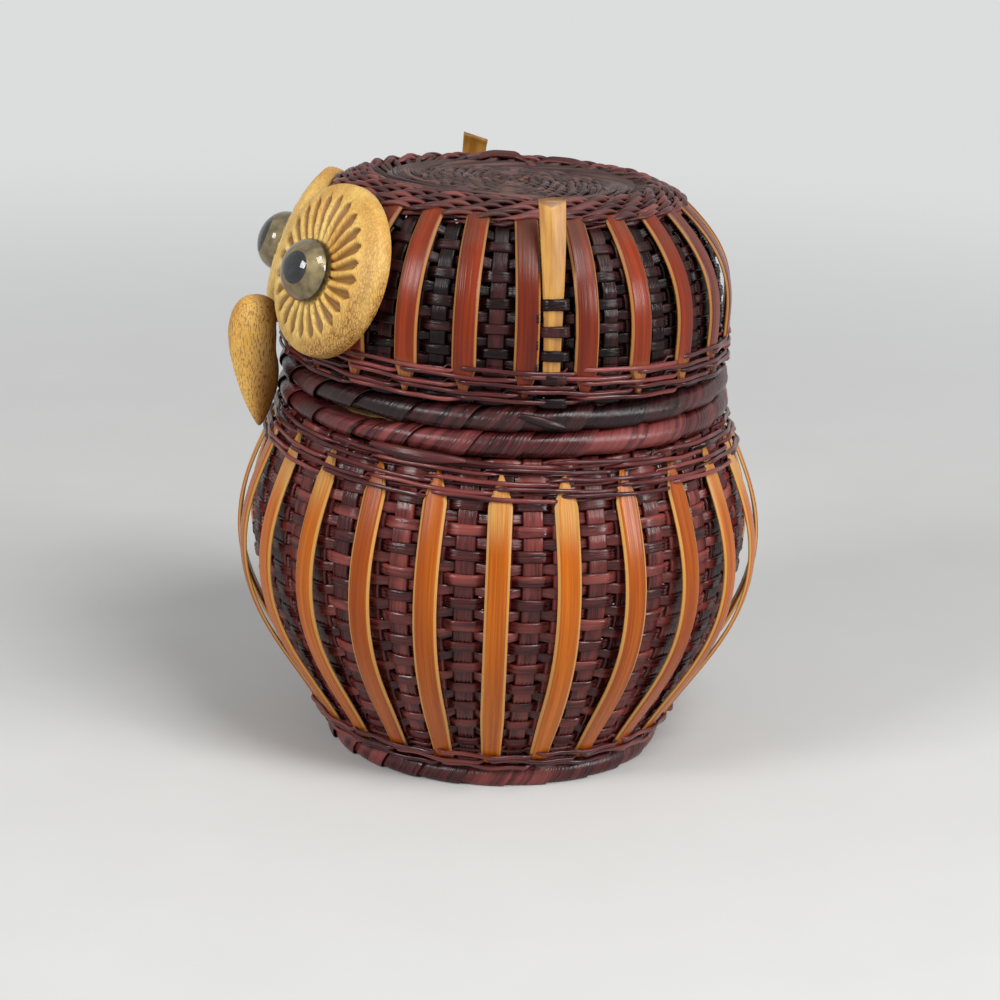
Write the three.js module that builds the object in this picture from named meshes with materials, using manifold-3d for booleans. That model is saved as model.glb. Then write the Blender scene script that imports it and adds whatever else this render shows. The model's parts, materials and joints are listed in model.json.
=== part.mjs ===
// A lidded wicker basket in the shape of an owl: the basket is its body and the domed lid is its head.
// Lengths are in millimetres and angles in degrees. +Z is up and the owl looks along -Y, so its left is +X.
import * as THREE from "three";
import { mergeVertices } from "three/addons/utils/BufferGeometryUtils.js";
import Module from "manifold-3d";

const wasm = await Module();
wasm.setup();

// Fits
const CLEARANCE = 0.3; // between a piece and what it rests on
const HOLE_CLEARANCE = 0.4; // round a wire or a peg in its hole
const COLLAR_CLEARANCE = 0.4; // between the collar hoop and the rims round it

// Weave
const STAKES = 48;
const WALL_THICKNESS = 2.4;
const WEAVE_RELIEF = 0.8;
const BASKET_WEAVE_ROWS = 28;
const LID_WEAVE_ROWS = 14;

// Wrapped rims
const FOOT_RIM_RADIUS = 41.4;
const FOOT_RIM_THICKNESS = 7;
const FOOT_FLAT_DEPTH = 0.5;
const BASKET_RIM_RADIUS = 55.6;
const BASKET_RIM_THICKNESS = 7;
const BASKET_RIM_HEIGHT = 95.2;
const LID_RIM_INSET = 0.3; // of its middle from the basket rim's
const LID_RIM_THICKNESS = 6.8;
const WRAPS = 24;
const WRAP_STEP = 0.6; // how far a splint's edge stands over the splint that it overlaps

// Basket wall, measured to its outside
const WALL_FOOT_STANDOFF = 2.8; // out from the middle of the foot rim
const BELLY_RADIUS = 65.4;
const BELLY_HEIGHT = 60;
const NECK_STANDOFF = 1.2; // out from the middle of the basket rim

// Lid wall, measured to its outside
const LID_WALL_STANDOFF = 1.3; // out from the middle of the lid rim
const LID_WALL_RISE = 40.8;
const LID_TOP_RADIUS = 45;
const SHOULDER_SHARPNESS = 3.8;

// Slats
const SLAT_THICKNESS = 1;
const SLAT_WIDTH = 6;
const SLAT_FOOT_WIDTH = 4.8;
const SLAT_POINT_LENGTH = 7;
const SLAT_POINT_WIDTH = 1;
const SLAT_BEVEL = 0.8;
const BASKET_SLAT_BOW = 3;
const BASKET_SLAT_FOOT = 2.7; // above the wall's foot
const BASKET_SLAT_TIP = 3.9; // below the wall's neck
const LID_SLAT_BOW = 1.2;
const LID_SLAT_TIP = 2.3; // above the lid wall's foot

// Bindings
const STRAND_THICKNESS = 1.5;
const STRAND_PITCH = 2.1;
const LOWER_BINDING_START = 3.1; // above the wall's foot
const LOWER_BINDING_TURNS = 2;
const UPPER_BINDING_START = 8.9; // below the wall's neck
const UPPER_BINDING_TURNS = 3;
const LID_BINDING_START = 2.7; // above the lid wall's foot
const LID_BINDING_TURNS = 3;

// Lid top
const SHOULDER_RING_THICKNESS = 3.6;
const CAP_THICKNESS = 2.4;
const CAP_RELIEF = 0.6;
const CAP_LIFT = 0.9; // of its top's edge over the middle of the shoulder ring
const CAP_CREST_INSET = 4.4; // in from its edge, where its stakes are folded in
const CAP_CREST_RISE = 1.8; // over its edge
const CAP_WELL_INSET = 10.4; // in from its edge, where the crest has come down
const CAP_WELL_RISE = 0.7; // over its edge
const CAP_RISE = 1.9; // of its middle over its edge
const CAP_RINGS = 5; // inside the crest

// Base
const BASE_THICKNESS = 2.2;
const BASE_RISE = 1.6;
const BASE_RELIEF = 0.6;
const BASE_RINGS = 4;

// Collar hoop
const COLLAR_THICKNESS = 1.2;
const COLLAR_DEPTH = 8; // below the gap between the rims
const COLLAR_RISE = 7; // above the gap between the rims

// Eyes
const EYE_ANGLE = 26.4; // round from the beak
const EYE_YAW = 3; // how far each disc is turned in, to look forward
const EYE_TILT = 18;
const EYE_STANDOFF = 3.84; // of the rim's front plane from the lid's wall, at the disc's centre
const EYE_RISE = 28; // above the lid wall's foot
const RIGHT_EYE_DROP = 4.2; // the two eyes were pinned on by hand and don't match
const RIGHT_EYE_INSET = 1.4; // how much nearer to the wall it sits
const DISC_RADIUS = 21.8;
const DISC_EDGE = 3.8;
const DISC_DOME = 3.6;
const DISC_GROOVES = 24;
const DISC_GROOVE_DEPTH = 1.1;
const GLASS_DROP = 1.4; // of the wire and glass below the disc's middle
const DISC_SEAT_MARGIN = 0.6; // round the glass
// Down the dome: shares of the radius, of the dome's rise and of the grooves' depth
const DISC_SLOPE = [
  [0.94, 0.22, 0],
  [0.85, 0.42, 0],
  [0.7, 0.66, 1],
  [0.5, 0.9, 0.7],
];
const GLASS_RADIUS = 8;
const GLASS_HEIGHT = 7.4;
const GLASS_EDGE = 0.8; // upright, below the dome
const PUPIL_RADIUS = 3.5; // of the dark round at the core's front
const PUPIL_SKIRT = 2.6; // how much wider the painted core is at its back
const PUPIL_THICKNESS = 4;
const WIRE_THICKNESS = 1.2;
const WIRE_TAIL = 6;

// Beak
const BEAK_RISE = 4.1; // above the middle of its peg
const BEAK_LENGTH = 34.7;
const BEAK_DEPTH = 13.2;
const BEAK_WIDTH = 12.6;
const BEAK_TIP_LEAN = 1.6; // how far the point lies in from the middle
const BEAK_HOLLOW = 1.2; // how deep its back is hollowed over the binding
const BEAK_PEAK = 0.6; // raises the widest place when it is less
const BEAK_FULLNESS = 0.7; // rounds the ends when it is less
const BEAK_BLUNTING = 0.002; // the share of its length that is blunted at each end
const PEG_THICKNESS = 3.2;
const PEG_SOCKET_DEPTH = 5;

// Ears
const EAR_FOOT = 5.3; // above the lid wall's foot
const EAR_RISE = 6.7; // above the middle of the shoulder ring
const EAR_STANDOFF = 6.5; // of its top, out from the middle of the shoulder ring
const EAR_BULGE = 1;
const EAR_FOOT_WIDTH = 4.4;
const EAR_TOP_WIDTH = 6.4;
const EAR_FOOT_THICKNESS = 1;
const EAR_TOP_THICKNESS = 2;
const EAR_SLANT = 1.8;
const EAR_TURN = -1.2; // both ears, round from square to the face

// Turns about the axis
const FACE = -90;
const BASKET_TURN = -4.8; // the basket's slats from the lid's gaps, as the lid sits in the photo

// Fineness of the faceted surfaces
const LINING_ROWS = 4;
const RIM_STEPS = 3 * WRAPS;
const RIM_SIDES = 6;
const STRAND_SIDES = 6;
const SLAT_STEPS = 7;
const GLASS_FACETS = 16;
const GLASS_ARCS = 5;
const WIRE_STEPS = 11;
const WIRE_SIDES = 6;
const BEAK_STEPS = 12;
const BEAK_SIDES = 10;
const PEG_SIDES = 8;
const EAR_STEPS = 5;
const SLOPE_STEP = 0.01;

const STAKE_SPACING = 360 / STAKES;
const SLATS = STAKES / 2;
const GAP_SPACING = 360 / SLATS;

// Radii and heights that follow from what stands on what. A hoop's section has flats at its top and bottom.
const lidRimRadius = BASKET_RIM_RADIUS - LID_RIM_INSET;
const wallFootRadius = FOOT_RIM_RADIUS + WALL_FOOT_STANDOFF;
const neckRadius = BASKET_RIM_RADIUS + NECK_STANDOFF;
const lidWallRadius = lidRimRadius + LID_WALL_STANDOFF;
const hoopRise = (thickness) => (thickness / 2) * Math.cos(Math.PI / RIM_SIDES);
const footRimHeight = hoopRise(FOOT_RIM_THICKNESS) - FOOT_FLAT_DEPTH;
const footRimTop = footRimHeight + hoopRise(FOOT_RIM_THICKNESS);
const basketRimTop = BASKET_RIM_HEIGHT + hoopRise(BASKET_RIM_THICKNESS);
const lidRimHeight = basketRimTop + CLEARANCE + hoopRise(LID_RIM_THICKNESS);
const rimGapHeight = basketRimTop + CLEARANCE / 2;

// Materials
const paint = (color, roughness, metalness = 0) =>
  new THREE.MeshStandardMaterial({ color, roughness, metalness });
const wicker = () => paint(0x5a2230, 0.45);
const splint = () => paint(0x4a1726, 0.35);
const amberSlat = () => paint(0xc8762a, 0.35);
const russetSlat = () => paint(0x9c4626, 0.4);
const paleBamboo = () => paint(0xd0a050, 0.5);
const boxwood = () => paint(0xc8963c, 0.55);
const clearGlass = () => paint(0x8a8870, 0.05);
const enamel = () => paint(0x0c1018, 0.2);
const wireMetal = () => paint(0x8a8478, 0.4, 1);
const dustyWicker = () => paint(0x4c3a36, 0.7);

const radians = THREE.MathUtils.degToRad;
const between = THREE.MathUtils.lerp;

// A point at a distance from the axis, an angle round it and a height.
function polar(radius, angle, height) {
  return new THREE.Vector3(radius * Math.cos(radians(angle)), radius * Math.sin(radians(angle)), height);
}

// The angle of one of the stakes. Slats lie over the odd ones and the even ones show between slats.
function stakeAngle(stake) {
  return FACE + stake * STAKE_SPACING;
}

// The side of the basket or the lid: its outer radius at each height, going on straight above its top.
function sideOf(bottom, top, profile) {
  const slope = (profile(top) - profile(top - SLOPE_STEP)) / SLOPE_STEP;
  const radius = (height) => (height > top ? profile(top) + slope * (height - top) : profile(height));
  return { bottom, top, radius };
}

// The point that lies some way out from a side, square to it, at one of its heights.
function outside(side, height, offset) {
  const rise = side.radius(height + SLOPE_STEP) - side.radius(height - SLOPE_STEP);
  const slope = rise / (2 * SLOPE_STEP);
  const length = Math.hypot(1, slope);
  return { radius: side.radius(height) + offset / length, height: height - (offset * slope) / length };
}

// A bulging lower part in a quarter of a sine wave, and a shoulder that draws in to the neck.
const wallFoot = footRimTop + CLEARANCE;
const wallNeck = BASKET_RIM_HEIGHT - hoopRise(BASKET_RIM_THICKNESS) - CLEARANCE;
const basketSide = sideOf(wallFoot, wallNeck, (height) => {
  if (height < BELLY_HEIGHT) {
    const climb = (height - wallFoot) / (BELLY_HEIGHT - wallFoot);
    return between(wallFootRadius, BELLY_RADIUS, Math.sin((climb * Math.PI) / 2));
  }
  const climb = (height - BELLY_HEIGHT) / (wallNeck - BELLY_HEIGHT);
  return between(neckRadius, BELLY_RADIUS, Math.cos((climb * Math.PI) / 2));
});

// Nearly upright, then rounded over at the shoulder.
const lidFoot = lidRimHeight + hoopRise(LID_RIM_THICKNESS) + CLEARANCE;
const lidSide = sideOf(lidFoot, lidFoot + LID_WALL_RISE, (height) => {
  const climb = Math.max(height - lidFoot, 0) / LID_WALL_RISE;
  return between(lidWallRadius, LID_TOP_RADIUS, climb ** SHOULDER_SHARPNESS);
});

// A geometry with shared corners, no empty faces, and its faces turned outwards.
function tidy(geometry) {
  geometry.deleteAttribute("normal");
  geometry.deleteAttribute("uv");
  const merged = mergeVertices(geometry);
  const at = merged.getAttribute("position");
  const corner = (vertex) => new THREE.Vector3().fromBufferAttribute(at, vertex);
  const faces = [];
  let volume = 0;
  for (let i = 0; i < merged.index.count; i += 3) {
    const [a, b, c] = [0, 1, 2].map((k) => merged.index.getX(i + k));
    if (a === b || b === c || c === a) continue;
    faces.push([a, b, c]);
    volume += corner(a).dot(corner(b).cross(corner(c)));
  }
  merged.setIndex(faces.flatMap(([a, b, c]) => (volume < 0 ? [a, c, b] : [a, b, c])));
  merged.computeVertexNormals();
  return merged;
}

// A solid skinned over a row of sections with the same number of points each. A looped row closes on
// itself, and any other row is closed by its first and last sections.
function loft(sections, looped = false) {
  const sides = sections[0].length;
  const spans = looped ? sections.length : sections.length - 1;
  const index = [];
  for (let span = 0; span < spans; span++) {
    const here = span * sides;
    const there = ((span + 1) % sections.length) * sides;
    for (let side = 0; side < sides; side++) {
      const next = (side + 1) % sides;
      index.push(here + side, here + next, there + next);
      index.push(here + side, there + next, there + side);
    }
  }
  if (!looped) {
    const last = (sections.length - 1) * sides;
    for (let side = 1; side < sides - 1; side++) {
      index.push(0, side + 1, side);
      index.push(last, last + side, last + side + 1);
    }
  }
  const geometry = new THREE.BufferGeometry().setFromPoints(sections.flat());
  geometry.setIndex(index);
  return tidy(geometry);
}

// A solid of revolution about +Z from a profile of [radius, height] points.
function revolve(profile, segments) {
  const outline = profile.map(([radius, height]) => new THREE.Vector2(radius, height));
  return tidy(new THREE.LatheGeometry(outline, segments).rotateX(Math.PI / 2));
}

// A round bar along a curve.
function bar(curve, thickness, steps, sides) {
  const section = new THREE.Shape();
  section.absarc(0, 0, thickness / 2, 0, 2 * Math.PI);
  const options = { extrudePath: curve, steps, curveSegments: sides / 2, bevelEnabled: false };
  return tidy(new THREE.ExtrudeGeometry(section, options));
}

function solidOf(geometry) {
  return new wasm.Manifold(
    new wasm.Mesh({
      numProp: 3,
      vertProperties: new Float32Array(geometry.getAttribute("position").array),
      triVerts: new Uint32Array(geometry.index.array),
    }),
  );
}

function geometryOf(solid) {
  const mesh = solid.getMesh();
  const geometry = new THREE.BufferGeometry();
  geometry.setAttribute("position", new THREE.BufferAttribute(new Float32Array(mesh.vertProperties), 3));
  geometry.setIndex(new THREE.BufferAttribute(new Uint32Array(mesh.triVerts), 1));
  geometry.computeVertexNormals();
  return geometry;
}

// The first geometry with the others cut out of it.
function cut(geometry, tools) {
  return geometryOf(tools.reduce((solid, tool) => solid.subtract(solidOf(tool)), solidOf(geometry)));
}

// The first geometry joined with the others.
function join(geometry, pieces) {
  return geometryOf(pieces.reduce((solid, piece) => solid.add(solidOf(piece)), solidOf(geometry)));
}

// Weavers that pass over and under the stakes, in and out by turns at each crossing. Each crossing is at the
// middle of its row, and the wall's two edges are plain.
function wovenWall(side, rows) {
  const sections = [];
  for (let stake = 0; stake < STAKES; stake++) {
    const outer = (share, offset) => {
      const at = outside(side, between(side.bottom, side.top, share), offset);
      return polar(at.radius, stakeAngle(stake), at.height);
    };
    const section = [outer(0, 0)];
    for (let row = 0; row < rows; row++) {
      const under = (stake + row) % 2 === 1;
      section.push(outer((row + 0.5) / rows, under ? -WEAVE_RELIEF : 0));
    }
    section.push(outer(1, 0));
    for (let row = LINING_ROWS; row >= 0; row--) {
      const height = between(side.bottom, side.top, row / LINING_ROWS);
      section.push(polar(side.radius(height) - WALL_THICKNESS, stakeAngle(stake), height));
    }
    sections.push(section);
  }
  return loft(sections, true);
}

// A hoop wrapped in overlapping splints: each splint rises across its width and drops at its edge.
// Nothing reaches below the lowest height, so a hoop that is stood on is flat there.
function wrappedHoop(radius, height, thickness, wraps, steps, lowest = -Infinity) {
  const sections = [];
  for (let step = 0; step < steps; step++) {
    const angle = FACE + (step / steps) * 360;
    const section = [];
    for (let side = 0; side < RIM_SIDES; side++) {
      const round = (side / RIM_SIDES) * 360;
      const across = ((wraps * step) / steps + side / RIM_SIDES) % 1;
      const reach = thickness / 2 - WRAP_STEP * across;
      const x = radius + reach * Math.cos(radians(round));
      const z = height + reach * Math.sin(radians(round));
      section.push(polar(x, angle, Math.max(z, lowest)));
    }
    sections.push(section);
  }
  return loft(sections, true);
}

// A number of rings from the middle of a disc out to a radius.
function ringsOut(radius, count) {
  return Array.from({ length: count + 1 }, (_, ring) => (radius * ring) / count);
}

// A twined disc from its rings outwards: the crossings on them stand up and down by turns on one face, apart
// from the middle and the edge, and the other face is smooth.
function twinedDisc(rings, relief, face, back) {
  const sections = [];
  const last = rings.length - 1;
  for (let stake = 0; stake < STAKES; stake++) {
    const crossings = rings.map((distance, ring) => {
      const under = ring > 0 && ring < last && (stake + ring) % 2 === 1;
      return polar(distance, stakeAngle(stake), face(distance) + (under ? relief : 0));
    });
    const rim = polar(rings[last], stakeAngle(stake), back(rings[last]));
    sections.push([...crossings, rim, polar(0, 0, back(0))]);
  }
  return loft(sections, true);
}

// The way a binding's strand runs: past the slats at an even distance, with its corners in the gaps.
function bindingPath(side, start, turns) {
  const offset = 2 * CLEARANCE + SLAT_THICKNESS + STRAND_THICKNESS / 2;
  const corners = [];
  for (let step = 0; step <= turns * SLATS; step++) {
    const at = outside(side, start + (STRAND_PITCH * step) / SLATS, offset);
    const reach = at.radius / Math.cos(radians(GAP_SPACING / 2));
    corners.push({ reach, angle: FACE + step * GAP_SPACING, height: at.height });
  }
  return corners;
}

// The least gap between a strand and itself, measured between its corners on different turns.
function leastGap(path) {
  const points = path.map(({ reach, angle, height }) => polar(reach, angle, height));
  let least = Infinity;
  points.forEach((point, i) => {
    points.slice(i + SLATS / 2).forEach((other) => {
      least = Math.min(least, point.distanceTo(other) - STRAND_THICKNESS);
    });
  });
  return least;
}

function binding(path) {
  return loft(
    path.map(({ reach, angle, height }) => {
      const section = [];
      for (let side = 0; side < STRAND_SIDES; side++) {
        const round = ((side + 0.5) / STRAND_SIDES) * 360;
        const out = (STRAND_THICKNESS / 2) * Math.cos(radians(round));
        const up = (STRAND_THICKNESS / 2) * Math.sin(radians(round));
        section.push(polar(reach + out, angle, height + up));
      }
      return section;
    }),
  );
}

// A flat bamboo slat with bevelled edges, bowed off its side between its blunt end and its pointed one.
function slat(side, angle, blunt, tip, bow) {
  const shoulder = 1 - SLAT_POINT_LENGTH / Math.abs(tip - blunt);
  const tangent = polar(1, angle + 90, 0);
  const sections = [];
  for (let step = 0; step <= SLAT_STEPS; step++) {
    const share = step === SLAT_STEPS ? 1 : (shoulder * step) / (SLAT_STEPS - 1);
    const swell = Math.min((2 * step) / SLAT_STEPS, 1);
    const width = step === SLAT_STEPS ? SLAT_POINT_WIDTH : between(SLAT_FOOT_WIDTH, SLAT_WIDTH, swell);
    const height = between(blunt, tip, share);
    const lift = CLEARANCE + bow * Math.sin(Math.PI * share) ** 2;
    const back = outside(side, height, lift);
    const front = outside(side, height, lift + SLAT_THICKNESS);
    const faceWidth = Math.max(width - 2 * SLAT_BEVEL, SLAT_POINT_WIDTH / 2);
    const corner = (at, across) => polar(at.radius, angle, at.height).addScaledVector(tangent, across);
    sections.push([
      corner(back, -width / 2),
      corner(back, width / 2),
      corner(front, faceWidth / 2),
      corner(front, -faceWidth / 2),
    ]);
  }
  return loft(sections);
}

// Basket
const basket = new THREE.Group();
basket.rotation.z = radians(BASKET_TURN);

function add(group, name, geometry, material) {
  const mesh = new THREE.Mesh(geometry, material);
  mesh.name = name;
  group.add(mesh);
}

const footRim = wrappedHoop(FOOT_RIM_RADIUS, footRimHeight, FOOT_RIM_THICKNESS, WRAPS, RIM_STEPS, 0);
const basketRim = wrappedHoop(BASKET_RIM_RADIUS, BASKET_RIM_HEIGHT, BASKET_RIM_THICKNESS, WRAPS, RIM_STEPS);
add(basket, "foot_rim", footRim, splint());
add(basket, "basket_rim", basketRim, splint());
add(basket, "basket_wall", wovenWall(basketSide, BASKET_WEAVE_ROWS), wicker());

// The floor sits inside the foot of the wall and on the foot rim, and rises a little in its middle.
function basketBase() {
  const radius = wallFootRadius - WALL_THICKNESS - CLEARANCE;
  const dome = (distance) => BASE_RISE * (1 - (distance / radius) ** 2);
  const underside = (distance) => footRimTop + CLEARANCE + dome(distance);
  const top = (distance) => underside(distance) + BASE_THICKNESS;
  return twinedDisc(ringsOut(radius, BASE_RINGS), BASE_RELIEF, underside, top);
}
add(basket, "basket_base", basketBase(), wicker());

const lowerBinding = bindingPath(basketSide, wallFoot + LOWER_BINDING_START, LOWER_BINDING_TURNS);
const upperBinding = bindingPath(basketSide, wallNeck - UPPER_BINDING_START, UPPER_BINDING_TURNS);
add(basket, "basket_lower_binding", binding(lowerBinding), wicker());
add(basket, "basket_upper_binding", binding(upperBinding), wicker());

const basketSlatFoot = wallFoot + BASKET_SLAT_FOOT;
const basketSlatTip = wallNeck - BASKET_SLAT_TIP;
for (let number = 1; number <= SLATS; number++) {
  const angle = stakeAngle(2 * number - 1);
  const name = "basket_slat_" + String(number).padStart(2, "0");
  const strip = slat(basketSide, angle, basketSlatFoot, basketSlatTip, BASKET_SLAT_BOW);
  add(basket, name, strip, amberSlat());
}

// The collar hoop fits inside the narrower of the two rims.
function collarHoop() {
  const basketBore = BASKET_RIM_RADIUS - BASKET_RIM_THICKNESS / 2;
  const lidBore = lidRimRadius - LID_RIM_THICKNESS / 2;
  const outer = Math.min(basketBore, lidBore) - COLLAR_CLEARANCE;
  const inner = outer - COLLAR_THICKNESS;
  const low = rimGapHeight - COLLAR_DEPTH;
  const high = rimGapHeight + COLLAR_RISE;
  return revolve([[inner, low], [outer, low], [outer, high], [inner, high], [inner, low]], STAKES);
}

// Lid
const lid = new THREE.Group();
const lidRim = wrappedHoop(lidRimRadius, lidRimHeight, LID_RIM_THICKNESS, WRAPS, RIM_STEPS);
add(lid, "lid_rim", lidRim, splint());
const lidBinding = bindingPath(lidSide, lidFoot + LID_BINDING_START, LID_BINDING_TURNS);
add(lid, "lid_lower_binding", binding(lidBinding), wicker());
const bindingReach = Math.max(...lidBinding.map(({ reach }) => reach)) + STRAND_THICKNESS / 2;

// The shoulder ring lies past the wall's top edge, in line with the slats that it holds.
const lidTopSlope = lidSide.radius(lidSide.top + 1) - lidSide.radius(lidSide.top);
const ringRun = (SHOULDER_RING_THICKNESS / 2 + CLEARANCE) / Math.hypot(1, lidTopSlope);
const ringEnd = lidSide.top + ringRun;
const ringCentre = outside(lidSide, ringEnd, CLEARANCE + SLAT_THICKNESS / 2);
const lidSlatTip = lidFoot + LID_SLAT_TIP;

function lidSlats() {
  const strips = [];
  for (let number = 1; number <= SLATS; number++) {
    strips.push(slat(lidSide, stakeAngle(2 * number - 1), ringEnd, lidSlatTip, LID_SLAT_BOW));
  }
  const { radius, height } = ringCentre;
  return join(wrappedHoop(radius, height, SHOULDER_RING_THICKNESS, SLATS, STAKES), strips);
}
add(lid, "lid_slats", lidSlats(), russetSlat());

// The cap closes the top inside the shoulder ring. It has a crest near its edge and is domed inside it.
function lidCap() {
  const radius = ringCentre.radius - SHOULDER_RING_THICKNESS / 2 - CLEARANCE;
  const crest = radius - CAP_CREST_INSET;
  const well = radius - CAP_WELL_INSET;
  const rise = (distance) => {
    if (distance > crest) return between(CAP_CREST_RISE, 0, (distance - crest) / (radius - crest));
    if (distance > well) return between(CAP_WELL_RISE, CAP_CREST_RISE, (distance - well) / (crest - well));
    return between(CAP_RISE, CAP_WELL_RISE, (distance / well) ** 2);
  };
  const top = (distance) => ringCentre.height + CAP_LIFT + rise(distance);
  const underside = (distance) => top(distance) - CAP_THICKNESS;
  return twinedDisc([...ringsOut(well, CAP_RINGS), crest, radius], -CAP_RELIEF, top, underside);
}
add(lid, "lid_cap", lidCap(), dustyWicker());

const eyeHeight = lidFoot + EYE_RISE;
const eyeRadius = lidSide.radius(eyeHeight) + EYE_STANDOFF;

// A point in front of an eye's disc: how far it lies before the rim plane, and how far below the middle.
function eyePoint(eye, distance, drop = GLASS_DROP) {
  const out = distance * Math.cos(radians(EYE_TILT)) + drop * Math.sin(radians(EYE_TILT));
  const up = distance * Math.sin(radians(EYE_TILT)) - drop * Math.cos(radians(EYE_TILT));
  return polar(eyeRadius - eye.inset, eye.angle, eye.height).add(polar(out, eye.facing, up));
}

// Places a geometry made about +Z on an eye's axis, with its origin in the disc's rim plane.
function ontoEye(geometry, eye, drop = GLASS_DROP) {
  const centre = eyePoint(eye, 0, drop);
  const forward = eyePoint(eye, 1, drop).sub(centre);
  const across = polar(1, eye.facing + 90, 0);
  const up = forward.clone().cross(across);
  const place = new THREE.Matrix4().makeBasis(across, up, forward).setPosition(centre);
  return geometry.applyMatrix4(place);
}

// The space taken by the lid's slats and their binding, a clearance proud of them, that hollows the discs.
function lidEnvelope() {
  const proud = 1 / Math.cos(Math.PI / STAKES);
  const spare = STRAND_THICKNESS / 2 + CLEARANCE;
  const bindingFoot = lidBinding[0].height - spare;
  const bindingTop = lidBinding.at(-1).height + spare;
  const bindingOut = (bindingReach + CLEARANCE) * proud;
  const profile = [[0, bindingFoot], [bindingOut, bindingFoot], [bindingOut, bindingTop]];
  for (let step = 0; step <= SLAT_STEPS; step++) {
    const share = step / SLAT_STEPS;
    const lift = 2 * CLEARANCE + SLAT_THICKNESS + LID_SLAT_BOW * Math.sin(Math.PI * share) ** 2;
    const at = outside(lidSide, between(lidSlatTip, ringEnd, share), lift);
    if (at.height > bindingTop) profile.push([at.radius * proud, at.height]);
  }
  profile.push([0, ringCentre.height + SHOULDER_RING_THICKNESS / 2 + CLEARANCE]);
  return revolve(profile, STAKES);
}

// A domed disc with grooves that widen out from its seat and end short of its rim, hollowed behind to sit
// against the slats. The seat and the bore lie off its middle, where the glass is.
function eyeDisc(eye) {
  const bore = WIRE_THICKNESS / 2 + HOLE_CLEARANCE;
  const seat = GLASS_RADIUS + DISC_SEAT_MARGIN;
  const sections = [];
  for (let step = 0; step < 2 * DISC_GROOVES; step++) {
    const angleRound = (step / (2 * DISC_GROOVES)) * 360;
    const depth = step % 2 ? DISC_GROOVE_DEPTH : 0;
    const offMiddle = (radius, height) => polar(radius, angleRound, height).setY(
      radius * Math.sin(radians(angleRound)) - GLASS_DROP,
    );
    sections.push([
      offMiddle(bore, -DISC_EDGE),
      polar(DISC_RADIUS, angleRound, -DISC_EDGE),
      polar(DISC_RADIUS, angleRound, 0),
      ...DISC_SLOPE.map(([out, up, share]) =>
        polar(DISC_RADIUS * out, angleRound, DISC_DOME * up - depth * share),
      ),
      offMiddle(seat, DISC_DOME),
      offMiddle(bore, DISC_DOME),
    ]);
  }
  return cut(ontoEye(loft(sections, true), eye, 0), [lidEnvelope()]);
}

const glassBack = DISC_DOME + CLEARANCE;
const pupilBack = glassBack + CLEARANCE;
const pupilFront = pupilBack + PUPIL_THICKNESS;

// A clear dome with a recess behind for the core that carries the pupil.
function eyeGlass(eye) {
  const recess = PUPIL_RADIUS + CLEARANCE;
  const profile = [[0, pupilFront + CLEARANCE], [recess, pupilFront + CLEARANCE]];
  profile.push([recess + PUPIL_SKIRT, glassBack], [GLASS_RADIUS - GLASS_EDGE, glassBack]);
  for (let arc = 0; arc < GLASS_ARCS; arc++) {
    const round = (arc / GLASS_ARCS) * (Math.PI / 2);
    const up = (GLASS_HEIGHT - GLASS_EDGE) * Math.sin(round);
    profile.push([GLASS_RADIUS * Math.cos(round), glassBack + GLASS_EDGE + up]);
  }
  profile.push([0, glassBack + GLASS_HEIGHT]);
  return ontoEye(revolve(profile, GLASS_FACETS), eye);
}

// A core that narrows forwards. Its sides are painted, and its front is the dark pupil.
function eyePupil(eye) {
  const back = PUPIL_RADIUS + PUPIL_SKIRT - CLEARANCE;
  const profile = [[0, pupilBack], [back, pupilBack], [PUPIL_RADIUS, pupilFront], [0, pupilFront]];
  return ontoEye(revolve(profile, GLASS_FACETS), eye);
}

// How far behind the rim plane an eye's axis leaves the inside of the lid's wall.
const wallInside = EYE_STANDOFF + WALL_THICKNESS;
const wireBend = wallInside / Math.cos(radians(EYE_TILT)) + 2 * WIRE_THICKNESS;

// A wire from behind the pupil, through the disc and the wall, and bent down inside the lid.
function eyeWire(eye) {
  const bend = eyePoint(eye, -wireBend);
  const tail = bend.clone().add(new THREE.Vector3(0, 0, -WIRE_TAIL));
  const path = new THREE.CurvePath();
  const before = eyePoint(eye, WIRE_THICKNESS - wireBend);
  const after = bend.clone().add(new THREE.Vector3(0, 0, -WIRE_THICKNESS));
  path.add(new THREE.LineCurve3(eyePoint(eye, DISC_DOME), before));
  path.add(new THREE.QuadraticBezierCurve3(before, bend, after));
  path.add(new THREE.LineCurve3(after, tail));
  return bar(path, WIRE_THICKNESS, WIRE_STEPS, WIRE_SIDES);
}

// A hole along an eye's axis through the lid's wall.
function wireHole(eye) {
  const span = new THREE.LineCurve3(eyePoint(eye, 0), eyePoint(eye, -wireBend));
  return bar(span, WIRE_THICKNESS + 2 * HOLE_CLEARANCE, 1, WIRE_SIDES);
}

// The beak's back is hollowed to lie against the lid's binding. Its peg runs out from inside the lid's wall,
// just above the binding, into a socket there.
const beakSwell = (share) => Math.sin(Math.PI * share ** BEAK_PEAK) ** BEAK_FULLNESS;
const beakWidest = 0.5 ** (1 / BEAK_PEAK);
const beakSeat = bindingReach + CLEARANCE - BEAK_HOLLOW;
const beakReach = beakSeat + BEAK_DEPTH / 2 + BEAK_TIP_LEAN * beakWidest;
const pegHeight = lidBinding.at(-1).height + (STRAND_THICKNESS + PEG_THICKNESS) / 2 + CLEARANCE;
const beakTop = pegHeight + BEAK_RISE;
const beakLine = new THREE.LineCurve(
  new THREE.Vector2(beakReach, beakTop),
  new THREE.Vector2(beakReach - BEAK_TIP_LEAN, beakTop - BEAK_LENGTH),
);
const pegShare = BEAK_RISE / BEAK_LENGTH;
const beakBack = beakLine.getPoint(pegShare).x - (BEAK_DEPTH / 2) * beakSwell(pegShare);
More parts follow.
